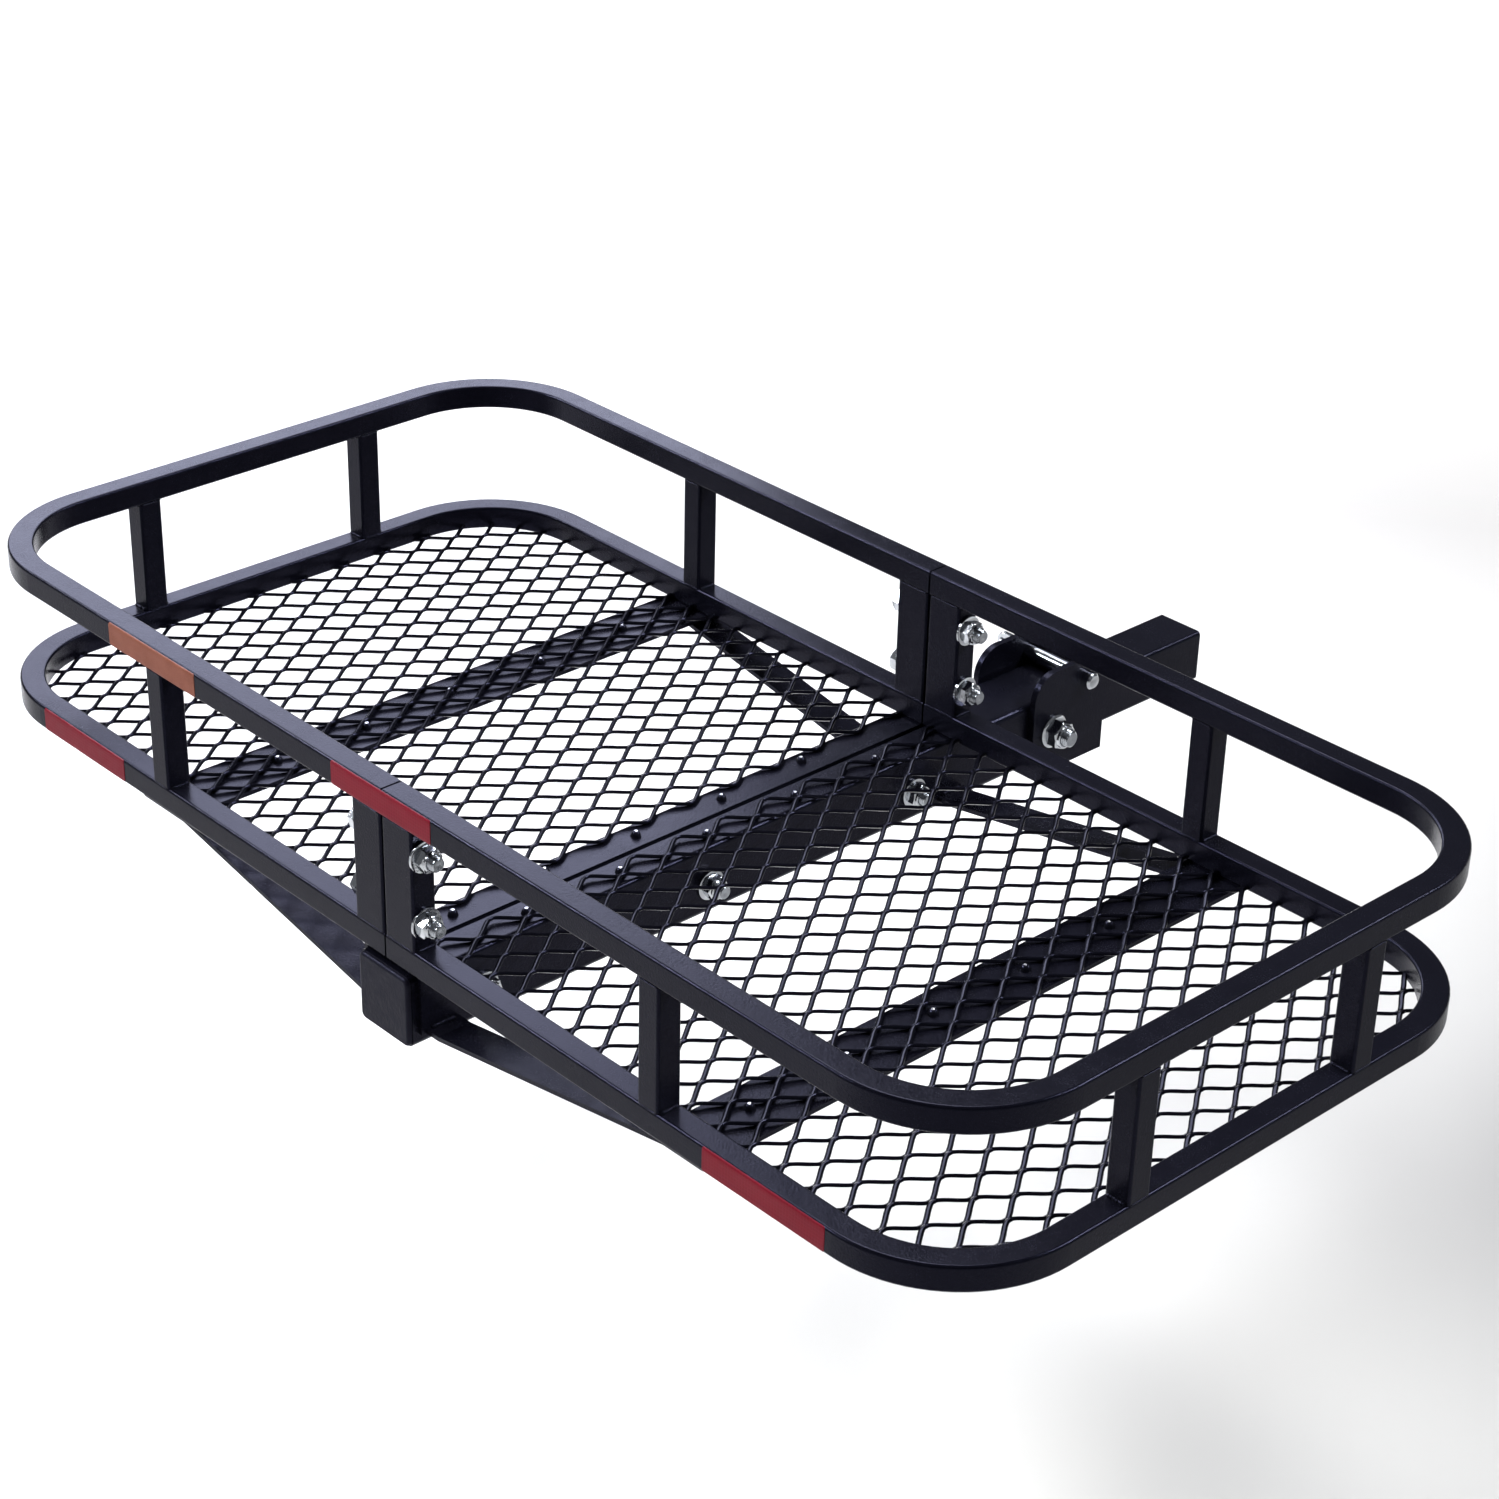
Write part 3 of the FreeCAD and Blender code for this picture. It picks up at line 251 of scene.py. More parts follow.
STEEL = powder_coat("black_powder_coat", (0.0020, 0.0020, 0.0038), (0.0034, 0.0034, 0.0060),
                    0.17, 0.27, 1.0)
MESH_STEEL = powder_coat("black_mesh_coat", (0.0020, 0.0020, 0.0034), (0.0034, 0.0034, 0.0054),
                         0.14, 0.24, 0.6)
WELD_STEEL = powder_coat("coated_weld", (0.0026, 0.0026, 0.0042), (0.0048, 0.0048, 0.0072),
                         0.14, 0.26, 0.5)
BARE_WELD = zinc("bright_spatter", (0.60, 0.61, 0.63), 0.22, 0.4)
ZINC = zinc("bright_zinc", (0.50, 0.52, 0.55), 0.08, 0.17)
DULL_ZINC = zinc("thread_zinc", (0.36, 0.38, 0.41), 0.16, 0.28)
FILM = reflector_film("red_reflector_film")
LABEL = printed_film("rust_label_film")
PLASTIC = moulded_plastic("black_plug_plastic")
FLOOR = studio_floor("pale_floor")

SLOT_LOOKS = {"black_steel": STEEL, "mesh_steel": MESH_STEEL, "zinc_steel": ZINC,
              "black_plastic": PLASTIC, "reflective_tape": FILM, "label_film": LABEL}
for entry in frame["record"]["subparts"]:
    node_materials = NODES[entry["node"]].data.materials
    slot_look = SLOT_LOOKS[entry["material_slot"]]
    for index in range(len(node_materials)):
        node_materials[index] = slot_look
    if not node_materials:
        node_materials.append(slot_look)


# ---------------------------------------------------------------- mesh building

class Builder:
    """Collects the vertices and faces of one piece, and which of its materials each face has."""

    def __init__(self):
        self.points = []
        self.faces = []
        self.looks = []

    def add(self, points, faces, look=0):
        """Add faces over new points; look is the number of their material."""
        base = len(self.points)
        self.points.extend(points)
        self.faces.extend([base + i for i in face] for face in faces)
        self.looks.extend([look] * len(faces))

    def rings(self, rings, look=0, wrap=False):
        """A skin over rings of equal length, capped at its ends or wrapped round to its start."""
        count = len(rings[0])
        points = [p for ring in rings for p in ring]
        faces = []
        last = len(rings) if wrap else len(rings) - 1
        for i in range(last):
            a, b = i * count, (i + 1) % len(rings) * count
            for j in range(count):
                k = (j + 1) % count
                faces.append([a + j, a + k, b + k, b + j])
        if not wrap:
            faces.append(list(range(count))[::-1])
            faces.append([last * count + j for j in range(count)])
        self.add(points, faces, look)

    def piece(self, name, materials, body, replaced, smooth):
        """Make the mesh, which is smooth up to an angle in degrees, and let it ride on a body."""
        mesh = bpy.data.meshes.new(name)
        mesh.from_pydata([tuple(p) for p in self.points], [], self.faces)
        for material in materials:
            mesh.materials.append(material)
        mesh.polygons.foreach_set("material_index", self.looks)
        mesh.update()
        obj = bpy.data.objects.new(name, mesh)
        bpy.context.scene.collection.objects.link(obj)
        tidy_normals(mesh)
        mesh.shade_smooth()
        mesh.set_sharp_from_angle(angle=math.radians(smooth))
        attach(obj, body)
        if replaced:
            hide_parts(*replaced)


def tidy_normals(mesh):
    """Turn every face outwards."""
    work = bmesh.new()
    work.from_mesh(mesh)
    bmesh.ops.recalc_face_normals(work, faces=work.faces)
    work.to_mesh(mesh)
    work.free()


def rounded_section(half_a, half_b, edge):
    """Points round a rectangle with round corners, as (a, b) pairs."""
    points = []
    for sign_a, sign_b, start in ((1, 1, 0), (-1, 1, 90), (-1, -1, 180), (1, -1, 270)):
        for turn in (0, 45, 90):
            angle = math.radians(start + turn)
            points.append((sign_a * (half_a - edge) + edge * math.cos(angle),
                           sign_b * (half_b - edge) + edge * math.sin(angle)))
    return points


# ---------------------------------------------------------------- expanded metal floor

STRAND_WIDTH = 4.0 * MM
STRAND_THICKNESS = 2.8 * MM
STRAND_EDGE = 0.55 * MM
STRAND_TILT = math.radians(30)
STRAND_STEPS = 28           # rings along one cell
STRAND_STRAIGHT = 0.7       # how straight a strand runs between two bonds, up to 1
RAIL_OVERLAP = 1.0 * MM     # how far a strand runs into the rails
BOND_LENGTH = 4.6 * MM
PANEL_EDGE = 9.0 * MM       # from the seam's middle to the first strand
MESH_DEPTH = 6.0 * MM       # twice the height of the strands' middle above the rails' underside
MESH_SMOOTH = 40.0

# each half's cell size, and the place of one bond from the middle of the basket
PANELS = {
    "left": {"pitch": (31.0 * MM, 48.8 * MM), "bond": (-241.4 * MM, 83.0 * MM)},
    "right": {"pitch": (32.6 * MM, 48.9 * MM), "bond": (173.4 * MM, 82.5 * MM)},
}


def inside_rails(x, y, side):
    """Whether a point of one half lies inside the lower rail's inner outline, with the overlap."""
    inner_x = END_X - TUBE + RAIL_OVERLAP
    inner_y = (FRONT_Y - REAR_Y) / 2 - TUBE + RAIL_OVERLAP
    bend = CORNER_RADIUS - TUBE + RAIL_OVERLAP
    x, y = side * x, abs(y - MIDDLE_Y)
    if x > inner_x or y > inner_y:
        return False
    over_x, over_y = x - (inner_x - bend), y - (inner_y - bend)
    return not (over_x > 0 and over_y > 0 and math.hypot(over_x, over_y) > bend)


def strand_point(column_x, column_y, y, pitch_x, pitch_y):
    """A point on the middle line of one zigzag strand."""
    phase = (y - column_y) / pitch_y
    distance = abs(phase - round(phase))
    bond = BOND_LENGTH / 2 / pitch_y
    travel = min(max((distance - bond) / (0.5 - 2 * bond), 0.0), 1.0)
    eased = travel * travel * (3 - 2 * travel)
    crossing = STRAND_STRAIGHT * travel + (1 - STRAND_STRAIGHT) * eased
    inset = STRAND_WIDTH / 2 * math.cos(STRAND_TILT)
    x = column_x + inset + crossing * (pitch_x / 2 - 2 * inset)
    z = FLOOR_Z + MESH_DEPTH / 2 + (0.5 - crossing) * STRAND_WIDTH * math.sin(STRAND_TILT)
    return Vector((x, y, z))


def strand(builder, column_x, column_y, pitch_x, pitch_y, side):
    """One strand of slit metal, which zigzags front to back between two rows of bonds."""
    step = pitch_y / STRAND_STEPS
    lean = Vector((math.cos(STRAND_TILT), 0, math.sin(STRAND_TILT)))
    section = rounded_section(STRAND_WIDTH / 2, STRAND_THICKNESS / 2, STRAND_EDGE)
    rings = []

    def close_run():
        if len(rings) > 2:
            builder.rings(rings)
        rings.clear()

    count = int((FRONT_Y - REAR_Y) / step) + 2
    for number in range(count):
        y = REAR_Y + number * step
        here = strand_point(column_x, column_y, y, pitch_x, pitch_y)
        if not inside_rails(here.x, here.y, side):
            close_run()
            continue
        ahead = strand_point(column_x, column_y, y + step / 4, pitch_x, pitch_y)
        behind = strand_point(column_x, column_y, y - step / 4, pitch_x, pitch_y)
        along = (ahead - behind).normalized()
        across = (lean - along * lean.dot(along)).normalized()
        up = across.cross(along)
        rings.append([here + across * a + up * b for a, b in section])
    close_run()


def expanded_panel(side_name, side):
    """One half's floor: strands side by side, every other one shifted by half a cell."""
    pitch_x, pitch_y = PANELS[side_name]["pitch"]
    bond_x, bond_y = PANELS[side_name]["bond"]
    half_x = pitch_x / 2
    columns = int((END_X + abs(bond_x)) / half_x)
    builder = Builder()
    for column in range(-columns, columns):
        column_x = bond_x + column * half_x
        inner = column_x if side > 0 else -(column_x + half_x)
        if PANEL_EDGE <= inner <= END_X:
            column_y = MIDDLE_Y + bond_y + column % 2 * pitch_y / 2
            strand(builder, column_x, column_y, pitch_x, pitch_y, side)
    builder.piece(side_name + "_expanded_metal", [MESH_STEEL], "basket",
                  [side_name + "_floor_mesh"], MESH_SMOOTH)


for panel_name, panel_side in SIDES.items():
    expanded_panel(panel_name, panel_side)


# ---------------------------------------------------------------- welds

RIPPLE = 1.9 * MM           # spacing of a bead's ripples
RIPPLE_RINGS = 4            # rings along one ripple
BEAD_SIDES = 10
POST_BEAD = 2.3 * MM        # radii of the beads
FLUSH_BEAD = 0.75 * MM
STRIP_BEAD = 1.8 * MM
STRAP_FOOT_BEAD = 2.6 * MM
STRAP_TIP_BEAD = 2.0 * MM
SHANK_BEAD = 2.8 * MM
CHEEK_BEAD = 1.8 * MM
WELD_SMOOTH = 60.0
SPOT_RADIUS = 4.6 * MM
SPOT_HEIGHT = 4.9 * MM
SPOT_SCATTER = 3            # millimetres off the line, to either side
ANGLE_SPOTS_X = 18 * MM

# spot welds along each half's cross strip, then along its angle, in mm in front of the middle
SPOT_ROWS = {
    "left": ((204, 104, 4, -91, -185), (156, 60, -35, -130, -226)),
    "right": ((157, 60, -39, -130, -228), (206, 110, 10, -83, -180)),
}


def bead(builder, start, end, radius, seed, up=(0, 0, 1)):
    """A weld bead of overlapping ripples between two points."""
    rng = random.Random(seed)
    start, end = Vector(start), Vector(end)
    length = (end - start).length
    along = (end - start) / length
    side = along.cross(Vector(up)).normalized()
    lift = side.cross(along)
    count = max(6, int(length / RIPPLE * RIPPLE_RINGS))
    rings = []
    wander = [rng.uniform(-0.12, 0.12) for _ in range(count // RIPPLE_RINGS + 2)]
    for number in range(count + 1):
        s = number / count
        phase = s * length / RIPPLE
        stray = wander[number // RIPPLE_RINGS]
        swell = 0.86 + 0.14 * abs(math.sin(math.pi * phase)) + stray * 0.5
        taper = min(1.0, min(s, 1 - s) * length / (radius * 0.9) + 0.25)
        size = radius * swell * math.sqrt(taper)
        centre = start + along * (s * length) + side * stray * radius * 0.4
        rings.append([centre + side * size * math.cos(a) + lift * size * math.sin(a)
                      for a in (math.radians(360 * k / BEAD_SIDES) for k in range(BEAD_SIDES))])
    builder.rings(rings)


def dome(builder, centre, seed):
    """A puddle weld: a low, slightly uneven dome with a dimple and a bright, uncoated crown."""
    rng = random.Random(seed)
    points, sides = [], 14
    wobble = [rng.uniform(-0.10, 0.10) for _ in range(sides)]
    profile = ((1.0, 0.0), (0.86, 0.5), (0.62, 0.86), (0.36, 1.0), (0.14, 0.9))
    for reach, rise in profile:
        for number in range(sides):
            angle = math.tau * number / sides
            size = SPOT_RADIUS * reach * (1 + wobble[number] * reach)
            points.append(Vector(centre) + Vector((size * math.cos(angle), size * math.sin(angle),
                                                   SPOT_HEIGHT * rise)))
    last = len(profile) - 1
    faces = [[level * sides + j, level * sides + (j + 1) % sides,
              (level + 1) * sides + (j + 1) % sides, (level + 1) * sides + j]
             for level in range(last) for j in range(sides)]
    faces.append([last * sides + j for j in range(sides)])
    faces.append(list(range(sides))[::-1])
    builder.add(points, faces)
    # half of the innermost ring of faces is uncoated, and so is the cap, the last face but one
    crown = len(builder.looks) - len(faces) + (last - 1) * sides + rng.randrange(sides // 2)
    for number in range(crown, crown + sides // 2):
        builder.looks[number] = 1
    builder.looks[-2] = 1


def post_boxes():
    """Each post's name, its lowest and highest corners and its middle."""
    for node in sorted(NODES):
        if node.endswith("_post"):
            low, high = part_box(node)
            yield node, low, high, (low + high) / 2


def post_welds(builder):
    """Fillets across the rails at the foot and the head of every post."""
    seed = 0
    reach = TUBE / 2 - 2.2 * MM
    for node, low, high, middle in post_boxes():
        for z in (low.z, high.z):
            for sign in (-1, 1):
                if "seam" in node and sign * middle.x < 0:
                    continue
                seed += 1
                if "_end_" in node:
                    y = high.y if sign > 0 else low.y
                    ends = ((middle.x - reach, y, z), (middle.x + reach, y, z))
                else:
                    x = high.x if sign > 0 else low.x
                    ends = ((x, middle.y - reach, z), (x, middle.y + reach, z))
                bead(builder, *ends, POST_BEAD, seed)


def flush_welds(builder):
    """Thin beads where a post stands flush with the faces of the rails."""
    depth, trim = 0.25 * MM, 2.5 * MM
    for node, low, high, middle in post_boxes():
        for z in (low.z, high.z):
            if "_end_" in node:
                for face in (low.x, high.x):
                    x = face - (depth if face > middle.x else -depth)
                    bead(builder, (x, low.y + trim, z), (x, high.y - trim, z), FLUSH_BEAD,
                         int(abs(face + z) * 1e5))
            else:
                for face in (low.y, high.y):
                    y = face - (depth if face > middle.y else -depth)
                    bead(builder, (low.x + trim, y, z), (high.x - trim, y, z), FLUSH_BEAD,
                         int(abs(face + z) * 1e5))


def frame_welds():
    """The basket's beads: at the posts, and where strips and straps meet the rails and angles."""
    builder = Builder()
    post_welds(builder)
    flush_welds(builder)
    seed = 500
    strip_start, strip_end = 3 * MM, 17 * MM
    foot_trim, foot_rise = 4 * MM, 4 * MM
    tip_trim, tip_drop = 5 * MM, 1 * MM
    for side_name, side in SIDES.items():
        strip_low, strip_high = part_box(side_name + "_cross_strip")
        leg_low, leg_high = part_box(side_name + "_seam_angle")
        leg_x = leg_high.x if side > 0 else leg_low.x
        for x in (strip_low.x, strip_high.x):
            for y, outward in ((REAR_Y + TUBE, -1), (FRONT_Y - TUBE, 1)):
                seed += 1
                bead(builder, (x, y + outward * strip_end, FLOOR_Z),
                     (x, y + outward * strip_start, FLOOR_Z), STRIP_BEAD, seed)
        for end in ("rear", "front"):
            low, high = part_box(f"{end}_{side_name}_strap")
            foot_z = low.z + foot_rise
            seed += 1
            bead(builder, (leg_x, low.y + foot_trim, foot_z), (leg_x, high.y - foot_trim, foot_z),
                 STRAP_FOOT_BEAD, seed)
            tip_x = high.x if side > 0 else low.x
            tip_z = high.z - tip_drop
            seed += 1
            bead(builder, (tip_x, low.y + tip_trim, tip_z), (tip_x, high.y - tip_trim, tip_z),
                 STRAP_TIP_BEAD, seed)
    builder.piece("frame_welds", [WELD_STEEL], "basket", (), WELD_SMOOTH)


def shank_welds():
    """Beads where the shank meets the bracket's web, and where the web meets the cheeks."""
    builder = Builder()
    web_low, web_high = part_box("bracket_web")
    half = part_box("shank_tube")[1].x
    reach = half - 4 * MM
    y = web_high.y + 0.8 * MM
    cheek_y = web_high.y - 0.4 * MM
    cheek_trim = 5 * MM
    up = (0, 1, 0)
    for number, sign in enumerate((-1, 1)):
        bead(builder, (-reach, y, sign * half), (reach, y, sign * half), SHANK_BEAD, 1200 + number, up)
        bead(builder, (sign * half, y, -reach), (sign * half, y, reach), SHANK_BEAD, 1210 + number, up)
        edge = web_high.x if sign > 0 else web_low.x
        bead(builder, (edge, cheek_y, web_low.z + cheek_trim), (edge, cheek_y, web_high.z - cheek_trim),
             CHEEK_BEAD, 1220 + number, up)
    builder.piece("shank_welds", [WELD_STEEL], "shank", (), WELD_SMOOTH)


def spot_welds():
    """Puddle welds that hold the expanded metal to the strips and the seam angles."""
    builder = Builder()
    seed = 900
    for side_name, side in SIDES.items():
        low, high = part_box(side_name + "_cross_strip")
        lines = ((low.x + high.x) / 2, side * ANGLE_SPOTS_X)
        for x, places in zip(lines, SPOT_ROWS[side_name]):
            for place in places:
                seed += 1
                scatter = random.Random(seed).uniform(-SPOT_SCATTER, SPOT_SCATTER) * MM
                dome(builder, (x + scatter, MIDDLE_Y + place * MM, FLOOR_Z), seed)
    builder.piece("spot_welds", [WELD_STEEL, BARE_WELD], "basket", (), WELD_SMOOTH)


frame_welds()
shank_welds()
spot_welds()


# ---------------------------------------------------------------- fasteners

HEX_SIDES = 48              # points round a head or nut
SHAFT_SIDES = 28
WASHER_SIDES = 40
SAMPLE_TURN = math.tau / HEX_SIDES
CHAMFER_STEPS = (0.0, 0.25, 0.5, 0.75, 1.0)
CHAMFER_DEPTH = 0.62        # as a share of how far the corners stand out past the flats
CHAMFER_FACE = 0.97         # radius of the round face, as a share of the flats' distance
FACE_SHARE = 0.80           # radius of the raised face, as a share of the corners' radius
THREAD_RINGS = 8            # rings along one turn of a thread
THREAD_DEPTH = 0.75 * MM
FASTENER_SMOOTH = 35.0

BOLT = {"radius": 6.35 * MM, "circumradius": 11.0 * MM, "head": 8.0 * MM, "pitch": 1.95 * MM}
PIVOT = {"radius": 8.0 * MM, "circumradius": 13.86 * MM, "head": 10.0 * MM, "pitch": 2.0 * MM}
PIVOT_FLANGE_RADIUS = 16.0 * MM
PIVOT_FLANGE_THICKNESS = 3.0 * MM
WASHER_RADIUS = 13.5 * MM
WASHER_BORE = 6.4 * MM
WASHER_EDGE = 0.35 * MM
NUT_CORNER_INSET = 9.5263 * MM     # from the lowest point of a nut to its axis
THREAD_START = 3.0 * MM            # how far inside the nut the modelled thread starts


def disc_rings(axis_point, radii, sides):
    """Rings about the X axis: radii is a list of (x, radius or a function of the angle)."""
    rings = []
    for x, radius in radii:
        ring = []
        for number in range(sides):
            angle = math.tau * number / sides
            size = radius(angle) if callable(radius) else radius
            ring.append(Vector((x, axis_point.y + size * math.cos(angle),
                                axis_point.z + size * math.sin(angle))))
        rings.append(ring)
    return rings


def hexagon_radius(circumradius, limit, turn):
    """Radius of a hexagon at an angle, cut off by the chamfer cone's radius."""
    apothem = circumradius * math.cos(math.pi / 6)

    def radius(angle):
        local = (angle + turn) % (math.pi / 3) - math.pi / 6
        return min(apothem / math.cos(local), limit)

    return radius


def hex_profile(x0, x1, circumradius, turn, chamfer_start, chamfer_end):
    """Rings of a hexagon between x0 and x1 whose corners are turned off at the chosen ends."""
    apothem = circumradius * math.cos(math.pi / 6)
    depth = (circumradius - apothem) * CHAMFER_DEPTH
    narrow = apothem * CHAMFER_FACE
    way = 1 if x1 > x0 else -1
    profile = []
    for x, inward, chamfered, steps in ((x0, way, chamfer_start, CHAMFER_STEPS),
                                        (x1, -way, chamfer_end, CHAMFER_STEPS[::-1])):
        for step in steps:
            limit = narrow + (circumradius - narrow) * step if chamfered else circumradius
            profile.append((x + inward * depth * step, hexagon_radius(circumradius, limit, turn)))
    return profile


def thread_radius(x, end_x, radius, pitch):
    """Radius of a helical thread at an angle, which tapers just before the bolt's end."""
    fade = min(1.0, (end_x - x) / (1.4 * MM))

    def size(angle):
        tooth = abs(2 * ((x / pitch + angle / math.tau) % 1.0) - 1)
        return (radius - THREAD_DEPTH * (1 - tooth)) * (0.86 + 0.14 * fade)

    return size


def threaded_end(builder, axis, x0, x1, radius, pitch):
    """A bolt's end: a helical thread, a chamfer and a shallow centre mark."""
    length = x1 - x0
    count = int(length / pitch * THREAD_RINGS)
    places = [x0 + length * number / count for number in range(count + 1)]
    profile = [(x, thread_radius(x, x1, radius, pitch)) for x in places]
    profile += [(x1 + 0.05 * MM, radius * 0.70), (x1, radius * 0.34), (x1 - 0.35 * MM, radius * 0.12)]
    builder.rings(disc_rings(axis, profile, SHAFT_SIDES), 1)


def bolt_piece(name, node, places, sizes, nut_end, body):
    """Detailed bolts in the place of the CAD ones: head, plain shank and threaded end."""
    low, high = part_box(node)
    tail_start = nut_end - THREAD_START
    builder = Builder()
    for number, (y, z) in enumerate(places):
        axis = Vector((0, y, z))
        turn = SAMPLE_TURN * (1 + number % 3)
        profile = hex_profile(low.x + sizes["head"], low.x, sizes["circumradius"], turn, False, True)
        face = sizes["circumradius"] * FACE_SHARE
        dish = 0.25 * MM
        profile += [(low.x, face * 0.98), (low.x + dish, face * 0.92), (low.x + dish, face * 0.2)]
        builder.rings(disc_rings(axis, profile, HEX_SIDES))
        shaft = [(low.x + sizes["head"] * 0.5, sizes["radius"]), (tail_start, sizes["radius"])]
        builder.rings(disc_rings(axis, shaft, SHAFT_SIDES))
        threaded_end(builder, axis, tail_start, high.x, sizes["radius"], sizes["pitch"])
    builder.piece(name, [ZINC, DULL_ZINC], body, [node], FASTENER_SMOOTH)


def nut_profile(low_x, high_x, sizes, turn, flanged):
    """A nut's rings: a flange if it has one, a chamfered hexagon, and a turned collar outside."""
    start = low_x + (PIVOT_FLANGE_THICKNESS if flanged else 0)
    collar = (high_x - start) * 0.22
    rim = sizes["circumradius"] * FACE_SHARE
    profile = []
    if flanged:
        profile += [(low_x, PIVOT_FLANGE_RADIUS * 0.97), (low_x + 0.5 * MM, PIVOT_FLANGE_RADIUS),
                    (low_x + PIVOT_FLANGE_THICKNESS * 0.45, PIVOT_FLANGE_RADIUS),
                    (start, sizes["circumradius"] * 0.98)]
    profile += hex_profile(start, high_x - collar, sizes["circumradius"], turn, not flanged, True)
    profile += [(high_x - collar * 0.9, rim), (high_x - collar * 0.25, rim * 0.97),
                (high_x, rim * 0.88), (high_x, sizes["radius"] * 1.12),
                (high_x - 0.8 * MM, sizes["radius"] * 1.02)]
    return profile


def nut_piece(name, node, places, sizes, body, flanged=False):
    """Detailed nuts in the place of the CAD ones."""
    low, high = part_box(node)
    builder = Builder()
    for number, (y, z) in enumerate(places):
        turn = SAMPLE_TURN * (3 + number * 5 % 8)
        profile = nut_profile(low.x, high.x, sizes, turn, flanged)
        builder.rings(disc_rings(Vector((0, y, z)), profile, HEX_SIDES))
    builder.piece(name, [ZINC], body, [node], FASTENER_SMOOTH)


def washer_piece(name, node, places):
    """Washers with soft edges in the place of the CAD ones."""
    low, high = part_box(node)
    profile = [(low.x, WASHER_BORE), (low.x, WASHER_RADIUS - WASHER_EDGE),
               (low.x + WASHER_EDGE, WASHER_RADIUS), (high.x - WASHER_EDGE, WASHER_RADIUS),
               (high.x, WASHER_RADIUS - 1.6 * WASHER_EDGE), (high.x, WASHER_BORE)]
    builder = Builder()
    for y, z in places:
        builder.rings(disc_rings(Vector((0, y, z)), profile, WASHER_SIDES))
    builder.piece(name, [ZINC], "basket", [node], FASTENER_SMOOTH)


def seam_places():
    """Axes of the four bolts through the seam posts."""
    low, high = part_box("seam_nuts")
    return [(y, z) for y in (REAR_Y + TUBE / 2, FRONT_Y - TUBE / 2)
            for z in (low.z + NUT_CORNER_INSET, high.z - NUT_CORNER_INSET)]


def beam_places():
    """Axes of the three bolts through the angles and the beam."""
    low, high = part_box("beam_washers")
    radius = (high.z - low.z) / 2
    return [(y, 0.0) for y in (low.y + radius, MIDDLE_Y, high.y - radius)]


def fasteners():
    """Every bolt, nut and washer of the seam posts, the beam and the pivot."""
    for prefix, places in (("seam", seam_places()), ("beam", beam_places())):
        nut_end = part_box(prefix + "_nuts")[1].x
        bolt_piece(prefix + "_hex_bolts", prefix + "_bolts", places, BOLT, nut_end, "basket")
        nut_piece(prefix + "_lock_nuts", prefix + "_nuts", places, BOLT, "basket")
        washer_piece(prefix + "_flat_washers", prefix + "_washers", places)
    low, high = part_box("pivot_nut")
    pivot_place = [((low.y + high.y) / 2, 0.0)]
    bolt_piece("pivot_hex_bolt", "pivot_bolt", pivot_place, PIVOT, high.x, "shank")
    nut_piece("pivot_flange_nut", "pivot_nut", pivot_place, PIVOT, "shank", True)


fasteners()


# ---------------------------------------------------------------- stop pin

PIN_RADIUS = 7.94 * MM
COLLAR_RADIUS = 14.0 * MM
COLLAR_THICKNESS = 6.0 * MM
COLLAR_BEVEL = 0.8 * MM
TAB_LENGTH = 26.0 * MM
TAB_HALF = 2.5 * MM         # half of its thickness
TAB_EDGE = 0.5 * MM
EYE_INSET = 6.0 * MM        # from the tab's end to the middle of its eye
EYE_RADIUS = 2.4 * MM


def tab_outline(angle, inset):
    """Distance at an angle from the eye to the edge of the pin's round-ended tab."""
    tiny = 1e-6
    into_collar = 1 * MM
    half = PIN_RADIUS - inset
    end_centre = PIN_RADIUS - EYE_INSET
    across, up = math.cos(angle), math.sin(angle)
    middle = across * end_centre
    round_end = middle + math.sqrt(middle ** 2 + half ** 2 - end_centre ** 2)
    if round_end * across < end_centre:
        return round_end
    long_side = half / max(abs(up), tiny)
    collar_end = (TAB_LENGTH - EYE_INSET + into_collar) / max(across, tiny)
    return min(long_side, collar_end)


def pin_tab_rings(low_x, axis):
    """Rings of the tab about its eye: out over its faces and edge, and back through the eye."""
    eye = Vector((low_x + EYE_INSET, axis.y, axis.z))
    inner = TAB_HALF - TAB_EDGE
    rings = []
    for y, inset, hole in ((-TAB_HALF, TAB_EDGE, None), (-inner, 0.0, None),
                           (inner, 0.0, None), (TAB_HALF, TAB_EDGE, None),
                           (TAB_HALF, 0.0, EYE_RADIUS + TAB_EDGE), (inner, 0.0, EYE_RADIUS),
                           (-inner, 0.0, EYE_RADIUS), (-TAB_HALF, 0.0, EYE_RADIUS + TAB_EDGE)):
        ring = []
        for number in range(HEX_SIDES):
            angle = math.tau * number / HEX_SIDES
            size = hole or tab_outline(angle, inset)
            ring.append(eye + Vector((size * math.cos(angle), y, size * math.sin(angle))))
        rings.append(ring)
    return rings


